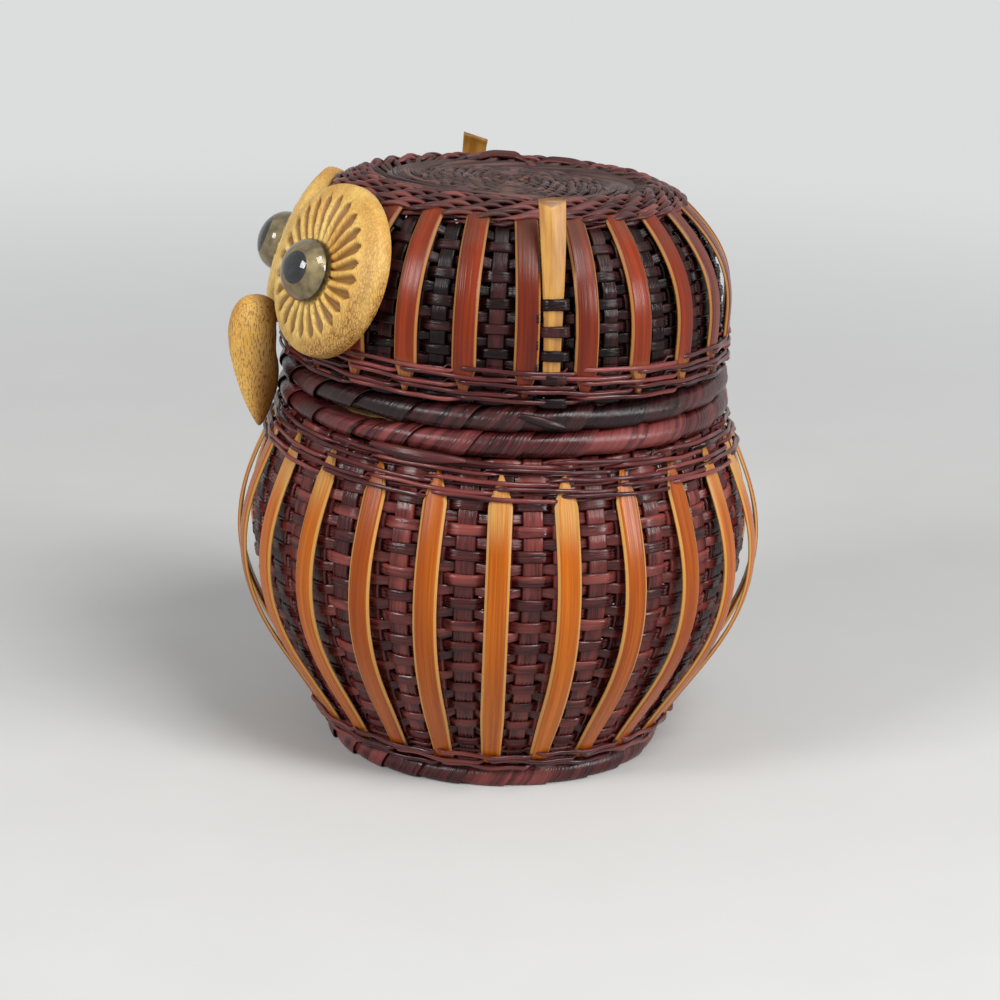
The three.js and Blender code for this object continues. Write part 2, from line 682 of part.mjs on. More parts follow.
const pegInner = lidSide.radius(pegHeight) - WALL_THICKNESS - PEG_THICKNESS / 2;
const socketEnd = beakBack + PEG_SOCKET_DEPTH;

function pegLine(inner, outer) {
  return new THREE.LineCurve3(polar(inner, FACE, pegHeight), polar(outer, FACE, pegHeight));
}

// A teardrop that is widest near its top and runs down and forward to a point clear of the basket.
function beak() {
  const sections = [];
  for (let step = 0; step <= BEAK_STEPS; step++) {
    const run = (1 - Math.cos((Math.PI * step) / BEAK_STEPS)) / 2;
    const share = between(BEAK_BLUNTING, 1 - BEAK_BLUNTING, run);
    const centre = beakLine.getPoint(share);
    const swell = beakSwell(share);
    const section = [];
    for (let side = 0; side < BEAK_SIDES; side++) {
      const round = radians((side / BEAK_SIDES) * 360);
      const out = (BEAK_DEPTH / 2) * swell * Math.cos(round);
      const across = (BEAK_WIDTH / 2) * swell * Math.sin(round);
      section.push(polar(centre.x + out, FACE, centre.y).add(polar(across, FACE + 90, 0)));
    }
    sections.push(section);
  }
  const socketLine = pegLine(pegInner, socketEnd + CLEARANCE);
  const socket = bar(socketLine, PEG_THICKNESS + 2 * CLEARANCE, 1, PEG_SIDES);
  return cut(loft(sections), [lidEnvelope(), socket]);
}

const eyes = [
  { hand: "left", side: 1, height: eyeHeight, inset: 0 },
  { hand: "right", side: -1, height: eyeHeight - RIGHT_EYE_DROP, inset: RIGHT_EYE_INSET },
].map((eye) => ({
  ...eye,
  angle: FACE + eye.side * EYE_ANGLE,
  facing: FACE + eye.side * (EYE_ANGLE - EYE_YAW),
}));
const pegRun = pegLine(pegInner, socketEnd);
const pegHole = bar(pegRun, PEG_THICKNESS + 2 * HOLE_CLEARANCE, 1, PEG_SIDES);
const wallHoles = [...eyes.map(wireHole), pegHole];
add(lid, "lid_wall", cut(wovenWall(lidSide, LID_WEAVE_ROWS), wallHoles), wicker());
for (const eye of eyes) {
  add(lid, "eye_disc_" + eye.hand, eyeDisc(eye), boxwood());
  add(lid, "eye_glass_" + eye.hand, eyeGlass(eye), clearGlass());
  add(lid, "eye_pupil_" + eye.hand, eyePupil(eye), enamel());
  add(lid, "eye_wire_" + eye.hand, eyeWire(eye), wireMetal());
}
add(lid, "beak", beak(), boxwood());
add(lid, "beak_peg", bar(pegRun, PEG_THICKNESS, 1, PEG_SIDES), paleBamboo());

// A strip with a ridge down its front, tucked behind the binding and standing up past the shoulder.
function ear(angle) {
  const foot = outside(lidSide, lidFoot + EAR_FOOT, CLEARANCE + EAR_FOOT_THICKNESS / 2);
  const top = ringCentre.height + EAR_RISE;
  const line = new THREE.QuadraticBezierCurve(
    new THREE.Vector2(foot.radius, foot.height),
    new THREE.Vector2(foot.radius + EAR_BULGE, (foot.height + top) / 2),
    new THREE.Vector2(ringCentre.radius + EAR_STANDOFF, top),
  );
  const tangent = polar(1, angle + 90, 0);
  const sections = [];
  for (let step = 0; step <= EAR_STEPS; step++) {
    const share = step / EAR_STEPS;
    const centre = line.getPoint(share);
    const along = line.getTangent(share);
    const width = between(EAR_FOOT_WIDTH, EAR_TOP_WIDTH, share);
    const thickness = between(EAR_FOOT_THICKNESS, EAR_TOP_THICKNESS, share);
    const slant = step === EAR_STEPS ? -EAR_SLANT / EAR_TOP_WIDTH : 0;
    const corner = (across, out) => {
      const radius = centre.x + out * along.y;
      const height = centre.y - out * along.x + slant * across;
      return polar(radius, angle, height).addScaledVector(tangent, across);
    };
    sections.push([
      corner(-width / 2, -thickness / 2),
      corner(width / 2, -thickness / 2),
      corner(width / 2, 0),
      corner(0, thickness / 2),
      corner(-width / 2, 0),
    ]);
  }
  return loft(sections);
}
add(lid, "ear_left", ear(FACE + 90 + EAR_TURN), paleBamboo());
add(lid, "ear_right", ear(FACE - 90 + EAR_TURN), paleBamboo());

const owl = new THREE.Group();
owl.add(basket, lid);
add(owl, "collar_hoop", collarHoop(), paleBamboo());

// The origin is on the floor, below the middle of the whole owl, so the axis lies a little behind it.
const box = new THREE.Box3().setFromObject(owl, true);
const middle = box.getCenter(new THREE.Vector3());
owl.position.set(-middle.x, -middle.y, -box.min.z);
const part = new THREE.Group();
part.add(owl);

const windings = { lowerBinding, upperBinding, lidBinding };
for (const [name, path] of Object.entries(windings)) {
  console.log(name, "least gap to itself", leastGap(path).toFixed(2), "mm");
}
console.log("axis at y", owl.position.y.toFixed(3), "mm");

export default part;
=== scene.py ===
# %% [markdown]
# A lidded wicker basket in the shape of an owl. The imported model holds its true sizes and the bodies
# that move. This lesson dresses it: real strands are woven over and under each other, the rims are wrapped
# in splints, and the face is carved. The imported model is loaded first, because everything is placed by it.

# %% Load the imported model
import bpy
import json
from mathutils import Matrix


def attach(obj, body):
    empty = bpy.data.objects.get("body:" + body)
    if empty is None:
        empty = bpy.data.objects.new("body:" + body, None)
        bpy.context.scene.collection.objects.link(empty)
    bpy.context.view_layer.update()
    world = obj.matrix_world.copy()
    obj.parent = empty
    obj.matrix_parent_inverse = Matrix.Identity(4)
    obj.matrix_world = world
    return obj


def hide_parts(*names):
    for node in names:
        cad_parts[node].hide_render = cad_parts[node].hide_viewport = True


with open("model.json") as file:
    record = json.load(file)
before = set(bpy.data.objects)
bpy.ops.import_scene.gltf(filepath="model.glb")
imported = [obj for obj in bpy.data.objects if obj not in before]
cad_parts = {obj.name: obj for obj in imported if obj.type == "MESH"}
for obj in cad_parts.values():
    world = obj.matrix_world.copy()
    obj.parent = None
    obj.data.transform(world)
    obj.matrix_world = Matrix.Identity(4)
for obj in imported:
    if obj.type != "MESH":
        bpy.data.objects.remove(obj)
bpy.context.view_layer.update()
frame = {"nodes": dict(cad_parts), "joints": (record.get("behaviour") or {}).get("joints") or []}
print("nodes in the packed model:", len(frame["nodes"]))

# %% [markdown]
# Sizes are easier to read in millimetres round the basket's own axis, so pieces are made that way and
# moved into metres at the end. The axis is where the lid turns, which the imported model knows.

# %% Units and the axis
import json
from functools import partial
from math import atan2, cos, exp, hypot, pi, radians, sin, sqrt, tanh, tau
import bmesh
import bpy
from mathutils import Matrix, Vector, noise

MM = 0.001
FACE = radians(-90)
STAKES = 48
SLATS = STAKES // 2
STAKE_SPACING = tau / STAKES
BASKET_TURN = radians(-4.8)
LID_TURN = 0.0
axis = Vector(next(joint["pos_m"] for joint in frame["joints"] if joint["name"] == "lid_turn"))
axis.z = 0.0
print("axis of the basket, in metres:", [round(value, 5) for value in axis])

# %% [markdown]
# A woven wall is soft, and no two strands are alike. Smooth noise gives each strand its own small
# wander, and because it comes from a formula it is the same each time the script runs.

# %% Small helpers
def lerp(low, high, share):
    return low + (high - low) * share


def smooth(low, high, value):
    share = min(max((value - low) / (high - low), 0.0), 1.0)
    return share * share * (3.0 - 2.0 * share)


def wander(*spot):
    return noise.noise(Vector(spot))


def chance(first, *others):
    """A value from 0 to 1 that jumps about, for the tone of each strand."""
    return 0.5 + 0.5 * sin(127.1 * first + 311.7 * sum(others) + 3.1)


def round_wander(angle, often, seed):
    """A wander that meets itself again after a full turn."""
    return wander(cos(angle) * often, sin(angle) * often, seed)


def place(angle, radius, height):
    return Vector((radius * cos(angle), radius * sin(angle), height))


def apart(first, second):
    return abs((first - second + pi) % tau - pi)


# %% [markdown]
# Each surface that strands lie on is a curve in the plane of radius and height. `on` finds a point some
# way out from the curve, square to it, and some way along it. The same call then serves the round belly,
# the lid's side and the nearly flat top.

# %% The curves that the strands lie on
WALL_FOOT, BELLY, WALL_NECK = 5.9, 60.0, 91.9
FOOT_RADIUS, BELLY_RADIUS, NECK_RADIUS = 44.2, 65.4, 56.8
LID_FOOT, LID_RISE = 104.7, 40.8
LID_RADIUS, LID_TOP_RADIUS, LID_ROUNDING = 56.6, 45.0, 3.8
CROWN_EDGE, CREST, WELL = 44.8, 37.4, 31.8
EDGE_HEIGHT, CREST_HEIGHT, WELL_HEIGHT = 147.5, 150.3, 148.9
CREST_ROUNDING, CROWN_DOME = 1.4, 1.2
FLOOR_RADIUS, FLOOR_HEIGHT, FLOOR_DOME = 41.3, 7.6, 1.5


def basket_side(height):
    if height < BELLY:
        climb = (height - WALL_FOOT) / (BELLY - WALL_FOOT)
        return lerp(FOOT_RADIUS, BELLY_RADIUS, sin(climb * pi / 2)), height
    climb = (height - BELLY) / (WALL_NECK - BELLY)
    return lerp(NECK_RADIUS, BELLY_RADIUS, cos(climb * pi / 2)), height


def lid_side(height):
    climb = max(height - LID_FOOT, 0.0) / LID_RISE
    return lerp(LID_RADIUS, LID_TOP_RADIUS, climb ** LID_ROUNDING), height


def crown(inward):
    radius = CROWN_EDGE - inward
    if radius > CREST:
        fall = ((radius - CREST) / (CROWN_EDGE - CREST)) ** CREST_ROUNDING
        return radius, lerp(CREST_HEIGHT, EDGE_HEIGHT, fall)
    if radius > WELL:
        return radius, lerp(WELL_HEIGHT, CREST_HEIGHT, smooth(WELL, CREST, radius))
    return radius, WELL_HEIGHT + CROWN_DOME * (1.0 - (radius / WELL) ** 2)


def floor_disc(inward):
    radius = FLOOR_RADIUS - inward
    return radius, FLOOR_HEIGHT + FLOOR_DOME * (1.0 - (radius / FLOOR_RADIUS) ** 2)


def on(curve, at, out=0.0, along=0.0):
    """The radius and height of a point off the curve: so far out from it and so far along it."""
    near, far = curve(at - 0.01), curve(at + 0.01)
    run, rise = far[0] - near[0], far[1] - near[1]
    length = hypot(run, rise)
    run, rise = run / length, rise / length
    radius, height = curve(at)
    return radius + rise * out + run * along, height - run * out + rise * along


print("belly radius, mm:", round(basket_side(BELLY)[0], 1))

# %% [markdown]
# Hundreds of strands would be slow to draw one by one. A maker prepares one kind of strand and bends it
# into place many times, and so does this script. `hoop` spins a strand's section once round a circle, and
# `strip` extrudes it straight up. Each corner keeps how far along and across its strand it lies, and the
# finishes run their grain along that.

# %% Straight strips and round hoops
HOOP, ENDLESS, TOUCHING = 100.0, 1e9, 1e-4


def section_ring(mesh, corners):
    points = [mesh.verts.new(corner) for corner in corners]
    sides = [mesh.edges.new((points[i - 1], points[i])) for i in range(len(points))]
    return points, sides


def as_master(mesh, strand_place):
    """Keeps a strand to copy from. Its faces store how far along, across and through it they lie."""
    mesh.verts.layers.float.new("tone")
    layer = mesh.loops.layers.float_vector.new("strand")
    for face in mesh.faces:
        face.smooth = True
        marks = [strand_place(loop.vert.co) for loop in face.loops]
        turn = max(mark[0] for mark in marks)
        for loop, mark in zip(face.loops, marks):
            around = mark[0] + mark[3] if turn - mark[0] > mark[3] / 2 else mark[0]
            loop[layer] = (around, mark[1], mark[2])
    bmesh.ops.recalc_face_normals(mesh, faces=mesh.faces)
    master = bpy.data.meshes.new("master")
    mesh.to_mesh(master)
    mesh.free()
    return master


def hoop(section, steps, length):
    mesh = bmesh.new()
    points, sides = section_ring(mesh, [(HOOP + out, 0, up) for out, up in section])
    bmesh.ops.spin(mesh, geom=points + sides, axis=(0, 0, 1), cent=(0, 0, 0), angle=tau,
                   steps=steps, use_merge=True, use_duplicate=False)

    def strand_place(co):
        turn = (atan2(co.y, co.x) / tau) % 1.0
        return turn * length, co.z, hypot(co.x, co.y) - HOOP, length

    return as_master(mesh, strand_place)


def strip(section, steps, length, sharp=()):
    mesh = bmesh.new()
    points, _ = section_ring(mesh, [(across, out, 0) for across, out in section])
    end = mesh.faces.new(points)
    grown = bmesh.ops.extrude_face_region(mesh, geom=[end])["geom"]
    tops = [item for item in grown if isinstance(item, bmesh.types.BMVert)]
    bmesh.ops.translate(mesh, vec=(0, 0, 1), verts=tops)
    uprights = [edge for edge in mesh.edges if abs(edge.verts[0].co.z - edge.verts[1].co.z) > 0.5]
    bmesh.ops.subdivide_edges(mesh, edges=uprights, cuts=steps - 1, use_grid_fill=True)
    creases = [Vector((*section[corner], 0)) for corner in sharp]
    for edge in mesh.edges:
        foot, head = edge.verts[0].co, edge.verts[1].co
        lengthwise = abs(foot.z - head.z) > 0.4 / steps
        corner = Vector((foot.x, foot.y, 0))
        if lengthwise and any((corner - crease).length < TOUCHING for crease in creases):
            edge.smooth = False
    return as_master(mesh, lambda co: (co.z * length, co.x, co.y, ENDLESS))


# %% [markdown]
# A strand is laid by copying its master and moving every corner to its bent place. The path of a hoop says
# for each angle how far out and how high it runs. Twined work has two strands in each row.

# %% Laying strands
def lay(mesh, master, bend, tone):
    """Adds a copy of a strip or hoop to the mesh, bent to its place, with a tone of its own."""
    start = len(mesh.verts)
    mesh.from_mesh(master)
    mesh.verts.ensure_lookup_table()
    layer = mesh.verts.layers.float["tone"]
    for vert in mesh.verts[start:]:
        vert.co = bend(vert.co)
        vert[layer] = tone


def round_bend(path):
    """Bends a hoop by a path that turns an angle, an outward and an upward offset into a point."""
    def bend(co):
        angle = atan2(co.y, co.x)
        return place(angle, *path(angle, hypot(co.x, co.y) - HOOP, co.z))
    return bend


def lay_pairs(mesh, master, rows, seed, path):
    """Lays two strands in each row. The path is told the row and the strand before the rest."""
    for row in range(rows):
        for strand in range(2):
            lay(mesh, master, round_bend(partial(path, row, strand)), chance(row, strand, seed))


# %% [markdown]
# A finished piece is moved to its place in metres, gets its finish, and takes over from the plain solids
# that it stands for. The lid was woven a little taller on one side, which shows more and more towards its
# top, so its woven pieces are leaned first. What is lower than the lid's middle stays as it is.

# %% Finishing a piece
LEAN, LEAN_TOWARDS, LEAN_START, LEAN_FULL = 2.0, radians(-39), 124, 147
TALLER = Vector((cos(LEAN_TOWARDS), sin(LEAN_TOWARDS), 0)) * LEAN / LID_TOP_RADIUS


def lean_lid(mesh):
    for vert in mesh.verts:
        vert.co.z += smooth(LEAN_START, LEAN_FULL, vert.co.z) * TALLER.dot(vert.co)


def put_in_scene(name, data):
    item = bpy.data.objects.new(name, data)
    bpy.context.scene.collection.objects.link(item)
    return item


def finish_piece(mesh, name, body, materials, replaced):
    for vert in mesh.verts:
        vert.co = vert.co * MM + axis
    data = bpy.data.meshes.new(name)
    mesh.to_mesh(data)
    mesh.free()
    for material in materials:
        data.materials.append(material)
    piece = put_in_scene(name, data)
    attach(piece, body)
    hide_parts(*replaced)
    print(name, "has", sum(len(face.vertices) - 2 for face in data.polygons), "triangles")


# %% [markdown]
# Most strands are flat bundles of a few fibres, so their section has ribs side by side. Twine and cores are
# oval. A section lists its corners across and out, and a hoop that lies flat against a wall wants them
# swapped.

# %% Sections of strands
def ribbed(width, thickness, ribs, depth, back=0.84):
    """The section of a flat bundle: ribs side by side on the face, and a plain back."""
    face = []
    for i in range(2 * ribs + 1):
        across = width * (i / (2 * ribs) - 0.5)
        out = thickness / 2 - (0 if i % 2 else depth)
        face.append((across, out if 0 < i < 2 * ribs else out - depth))
    return [*face, (width * back / 2, -thickness / 2), (-width * back / 2, -thickness / 2)]


def oval(width, thickness, corners):
    turns = [tau * (i + 0.5) / corners for i in range(corners)]
    return [(width / 2 * cos(turn), thickness / 2 * sin(turn)) for turn in turns]


def swapped(section):
    return [(out, across) for across, out in section]


# %% [markdown]
# Colours are noted as they look on screen, and turned into the linear values that a shader wants.
# A small builder adds a shader node and fills or links its sockets in one line.

# %% Colours and shader nodes
def colour(code):
    parts = [int(code[i:i + 2], 16) / 255 for i in (0, 2, 4)]
    linear = [part / 12.92 if part <= 0.04045 else ((part + 0.055) / 1.055) ** 2.4 for part in parts]
    return (*linear, 1.0)


def fill(node, sockets):
    """Links a socket to another node's output, or sets it. A text is a colour's code."""
    for name, value in sockets.items():
        if isinstance(value, bpy.types.NodeSocket):
            node.id_data.links.new(value, node.inputs[name])
        else:
            node.inputs[name].default_value = colour(value) if isinstance(value, str) else value
    return node


def add(tree, kind, sockets=None, **settings):
    node = tree.nodes.new("ShaderNode" + kind)
    for name, value in settings.items():
        setattr(node, name, value)
    return fill(node, sockets or {})


# %% [markdown]
# Short names for the usual sums and patterns keep a recipe readable. Each is made in the node tree that its
# first value belongs to, and hands back the socket that holds the result.

# %% Sums and patterns
def maths(operation, first, *others):
    for other in others:
        first = add(first.id_data, "Math", {0: first, 1: other}, operation=operation).outputs[0]
    return first


def times(*values):
    return maths("MULTIPLY", *values)


def plus(*values):
    return maths("ADD", *values)


def largest(*values):
    return maths("MAXIMUM", *values)


def blend(amount, low, high, how="MIX"):
    node = add(amount.id_data, "Mix", {0: amount, 6: low, 7: high}, data_type="RGBA", blend_type=how)
    return node.outputs[2]


def ramp(value, low, high, to_low=0.0, to_high=1.0):
    sockets = {0: value, 1: low, 2: high, 3: to_low, 4: to_high}
    return add(value.id_data, "MapRange", sockets, interpolation_type="SMOOTHSTEP").outputs[0]


def cloudy(at, scale, detail, roughness=0.5, output=0):
    sockets = {"Vector": at, "Scale": scale, "Detail": detail, "Roughness": roughness}
    return add(at.id_data, "TexNoise", sockets).outputs[output]


def bump(height, strength, depth):
    sockets = {"Height": height, "Strength": strength, "Distance": depth}
    return add(height.id_data, "Bump", sockets).outputs[0]


def split(vector):
    """The X, Y and Z of a vector."""
    return add(vector.id_data, "SeparateXYZ", {0: vector}).outputs


# %% [markdown]
# A finish reads where a point lies on the object, or what was stored on a strand when it was laid. A group
# holds an effect that several finishes share, and a new material starts from its Principled shader.

# %% Materials and groups
def on_object(tree):
    return add(tree, "TexCoord").outputs["Object"]


def stored(tree, name, output="Fac"):
    return add(tree, "Attribute", attribute_name=name).outputs[output]


def new_material(name):
    material = bpy.data.materials.new(name)
    material.use_nodes = True
    tree = material.node_tree
    return material, tree, tree.nodes["Principled BSDF"]


def new_group(name, inputs, outputs):
    tree = bpy.data.node_groups.new(name, "ShaderNodeTree")
    for label, kind in inputs.items():
        tree.interface.new_socket(label, in_out="INPUT", socket_type="NodeSocket" + kind)
    for label in outputs:
        tree.interface.new_socket(label, in_out="OUTPUT", socket_type="NodeSocketFloat")
    return tree, tree.nodes.new("NodeGroupInput").outputs, tree.nodes.new("NodeGroupOutput")


# %% [markdown]
# Every strand here is plant fibre: fine streaks run along it, and its tone wanders slowly. One group makes
# both from the strand's own coordinates. Stretching noise a long way along the strand and hardly at all
# across it is what makes it read as fibre.

# %% The fibre group
SEED_STEP = 91.0
PATCH_ALONG, PATCH_ACROSS = 0.45, 0.35
fibre, given, fibre_out = new_group(
    "Fibre",
    {"Strand": "Vector", "Tone": "Float", "Stretch": "Float", "Fineness": "Float"},
    ["Streak", "Patch"],
)
along, across, through = split(given["Strand"])
seed = times(given["Tone"], SEED_STEP)
along = plus(maths("DIVIDE", along, given["Stretch"]), seed)
fine = add(fibre, "CombineXYZ", {
    0: along,
    1: times(across, given["Fineness"]),
    2: times(through, given["Fineness"]),
})
broad = add(fibre, "CombineXYZ", {
    0: times(along, PATCH_ALONG),
    1: times(across, PATCH_ACROSS),
    2: seed,
})
streaks = cloudy(fine.outputs[0], 1.0, 3.0)
patches = cloudy(broad.outputs[0], 1.0, 2.0)
fill(fibre_out, {"Streak": ramp(streaks, 0.3, 0.7), "Patch": ramp(patches, 0.3, 0.7)})
print("nodes in the fibre group:", len(fibre.nodes))


def strand_finish(name, stretch, fineness):
    """Starts a finish whose grain follows the strand that it is on."""
    material, tree, skin = new_material(name)
    strand, tone = stored(tree, "strand", "Vector"), stored(tree, "tone")
    sockets = {"Strand": strand, "Tone": tone, "Stretch": stretch, "Fineness": fineness}
    streak, patch = add(tree, "Group", sockets, node_tree=fibre).outputs
    return material, tree, skin, strand, tone, streak, patch


# %% [markdown]
# The lid's top has caught years of dust. It lies on what faces up, more so the higher it is, in patches.

# %% The dust group
DUST_PATCHES = 140.0
NO_DUST = (0.2, 0.3, 0.0)
dust, given, dust_out = new_group("Dust", {"Low": "Float", "High": "Float"}, ["Dust"])
spot = on_object(dust)
rising = ramp(split(spot)[2], given["Low"], given["High"])
facing = add(dust, "NewGeometry").outputs["Normal"]
upward = ramp(split(facing)[2], -0.6, 0.8, 0.35, 1.0)
patchy = ramp(cloudy(spot, DUST_PATCHES, 5.0), 0.3, 0.65)
fill(dust_out, {"Dust": times(rising, upward, patchy)})
print("nodes in the dust group:", len(dust.nodes))


def dusted(tree, base, span, dusty):
    """Dust over a colour, from a low to a high point and up to an amount. Its mask comes back too."""
    low, high, amount = span
    settled = add(tree, "Group", {"Low": low, "High": high}, node_tree=dust).outputs[0]
    return blend(times(settled, amount), base, dusty), settled


# %% [markdown]
# The dyed strands and splints share one recipe: a dark dye that took unevenly, gloss varnish over it, and
# dust where they sit high. Only the colours, the fineness of the grain and the gloss differ.

# %% Dyed wicker
def dyed(name, colours, grain, gloss, shine, relief, dust_span=NO_DUST):
    """Colours are the dark, the middle and the worn one. Grain is its stretch and its fineness."""
    dark, mid, worn = colours
    material, tree, skin, _, tone, streak, patch = strand_finish(name, *grain)
    base = blend(streak, dark, mid)
    base = blend(times(patch, tone, 0.75), base, worn)
    base, settled = dusted(tree, base, dust_span, "60504a")
    fill(skin, {
        "Base Color": base,
        "Roughness": plus(times(patch, 0.14), gloss, times(settled, 0.35)),
        "Specular IOR Level": shine,
        "Normal": bump(streak, 0.8, relief),
    })
    return material


STRAND, TWINE, SPLINT = (9.0, 2.6), (12.0, 3.0), (26.0, 1.8)
CREST_STRAND, FOLDED_STAKE = (12.0, 2.6), (12.0, 2.2)
ON_THE_LID, ON_THE_CREST, ON_THE_FOLDS = (0.132, 0.152, 0.1), (0.1425, 0.154, 0.25), (0.138, 0.151, 0.3)
wicker = dyed("dyed wicker", ("120305", "561a1a", "984840"), STRAND, 0.15, 0.36, 0.00005)
# The lid's wicker has much darker colours than the belly's wicker: painted shade, for the shade it lies in
# between the lid's slats.
shaded_lid_wicker = dyed("shaded wicker", ("060203", "1e0a0b", "4c2424"), STRAND, 0.17, 0.2, 0.00005, ON_THE_LID)
twine = dyed("dyed twine", ("160508", "541c1e", "984a44"), TWINE, 0.16, 0.36, 0.00004)
splint_red = dyed("dyed splint", ("160406", "541a1d", "944844"), SPLINT, 0.2, 0.36, 0.00008)
splint_dark = dyed("dark splint", ("060303", "240c0f", "602c2c"), SPLINT, 0.18, 0.34, 0.00008)
crown_fibre = dyed(
    "crown fibre", ("0e0506", "4c1e1e", "94504a"), CREST_STRAND, 0.2, 0.26, 0.00006, ON_THE_CREST)
crown_dusty = dyed(
    "dusty crown fibre", ("0c0606", "3a2222", "7c564e"), FOLDED_STAKE, 0.24, 0.26, 0.0001, ON_THE_FOLDS)


# %% [markdown]
# The slats are split bamboo, varnished on their outer face. The bevels were shaved after varnishing and
# show the pale wood, and so do some tips. The strand coordinates say how far a point is along the slat and
# how far from its middle.

# %% Varnished bamboo
def slat_finish(name, colours, half_face, tips, dust_span=NO_DUST):
    """Colours are the deep, the warm and the shaved one. Tips is where shaving starts and ends, in mm."""
    deep, warm, pale = colours
    material, tree, skin, strand, tone, streak, patch = strand_finish(name, 30.0, 2.4)
    base = blend(plus(times(tone, 0.55), times(patch, 0.45)), deep, warm)
    base = blend(times(streak, 0.4), base, deep, "MULTIPLY")
    along, across, _ = split(strand)
    off_middle = add(tree, "Math", {0: across}, operation="ABSOLUTE").outputs[0]
    bevel = ramp(off_middle, half_face - 0.1, half_face + 0.12)
    tip = ramp(plus(along, times(tone, 3.0)), *tips)
    tip = times(tip, plus(streak, 0.3), ramp(tone, 0.35, 0.8))
    shaved = largest(bevel, tip)
    base, settled = dusted(tree, blend(shaved, base, pale), dust_span, "584030")
    worn = plus(times(shaved, 0.15), times(settled, 0.35), times(streak, 0.12))
    fill(skin, {
        "Base Color": base,
        "Roughness": plus(worn, 0.2),
        "Specular IOR Level": 0.25,
        "Normal": bump(streak, 0.35, 0.00008),
    })
    return material


amber = slat_finish("amber slat", ("923e06", "c86e10", "bc8a4a"), 2.43, (63.0, 75.0))
russet = slat_finish("russet slat", ("541608", "94340e", "a06c38"), 2.52, (34.0, 39.0), (0.134, 0.152, 0.6))


# %% [markdown]
# The disc and beak are boxwood: yellow, with short dark flecks along the grain. The knife left its marks,
# so the carved hollows keep more of the brown stain. Values stored while carving say where the hollows and
# the rough bands are. On the beak the same stored value darkens the back half that faces the basket, as
# painted shade.

# %% Boxwood
def carved_wood(name, colours, flecks_per_m, fleck_amount, pores_per_m):
    """Colours are the light, the warm and the stained one. On the beak the stained one also paints shade on
    its back half.
    """
    light, warm, stain_and_shade_colour = colours
    material, tree, skin = new_material(name)
    at = on_object(tree)
    carve_and_shade, band = stored(tree, "carve_and_shade"), stored(tree, "band")
    tall = add(tree, "Mapping", {"Vector": at, "Scale": (1, 1, 0.38)}).outputs[0]
    long = add(tree, "Mapping", {"Vector": at, "Scale": (1, 1, 0.22)}).outputs[0]
    cloud = cloudy(tall, 90.0, 4.0)
    base = blend(ramp(cloud, 0.3, 0.7), light, warm)
    base = blend(times(band, 0.5), base, "a8742c")
    grain = cloudy(long, flecks_per_m, 2.0, 0.6)
    flecks = times(ramp(grain, 0.5, 0.6), plus(times(carve_and_shade, 0.5), fleck_amount))
    shake = cloudy(at, 500.0, 2.0, output="Color")
    shift = add(tree, "VectorMath", {0: shake, 1: (0.0009, 0.0009, 0.0009)}, operation="MULTIPLY")
    bent = add(tree, "VectorMath", {0: tall, 1: shift.outputs[0]}, operation="ADD")
    pores = {"Vector": bent.outputs[0], "Scale": pores_per_m}
    cells = add(tree, "TexVoronoi", pores, feature="DISTANCE_TO_EDGE")
    cracks = ramp(cells.outputs["Distance"], 0.15, 0.04)
    crackle = times(cracks, times(band, ramp(cloud, 0.35, 0.6, 0.3, 1.0)))
    # The stored carve value darkens the disc's stained hollows, and on the beak it darkens the back half as
    # painted shade.
    stain_and_shade = largest(flecks, crackle, times(carve_and_shade, 0.8))
    relief = maths("SUBTRACT", grain, times(crackle, 0.6))
    fill(skin, {
        "Base Color": blend(stain_and_shade, base, stain_and_shade_colour),
        "Roughness": 0.5,
        "Normal": bump(relief, 0.5, 0.0002),
    })
    return material


disc_wood = carved_wood("carved boxwood", ("f2cc72", "d69c44", "6c4014"), 2300.0, 0.36, 1500.0)
beak_wood = carved_wood("beak boxwood", ("f6c462", "cc9034", "683c12"), 2700.0, 0.62, 1900.0)


# %% [markdown]
# The ears and the collar hoop are bamboo without varnish. Where a strip was cut across, its end grain is
# darker, and the distance along the strand says where that is.

# %% Bare bamboo
def bare_bamboo(name, light, warm, stretch, cut_at):
    material, _, skin, strand, _, streak, patch = strand_finish(name, stretch, 3.0)
    base = blend(streak, light, warm)
    base = blend(times(patch, 0.35), base, "8a5418")
    end_grain = ramp(split(strand)[0], cut_at - 0.9, cut_at - 0.1, 0.0, 0.75)
    fill(skin, {
        "Base Color": blend(end_grain, base, "6a4220"),
        "Roughness": 0.42,
        "Normal": bump(streak, 0.5, 0.0001),
    })
    return material


EAR_LENGTH, NEVER_CUT = 44.0, 1000.0
ear_bamboo = bare_bamboo("ear bamboo", "c49246", "9e6826", 14.0, EAR_LENGTH)
hoop_bamboo = bare_bamboo("hoop bamboo", "cdb070", "b8935a", 60.0, NEVER_CUT)

# %% [markdown]
# The eyes are glass domes over painted cores. Real glass bends the light, so the pupil looks larger than
# it is. The paint inside is an olive gold. Paint, enamel and wire only drift softly between two colours.

# %% Glass, paint and wire
def clouded(name, scale, detail, drift, colours):
    material, tree, skin = new_material(name)
    cloud = cloudy(on_object(tree), scale, detail)
    fill(skin, {"Base Color": blend(ramp(cloud, *drift), *colours)})
    return material, skin, cloud


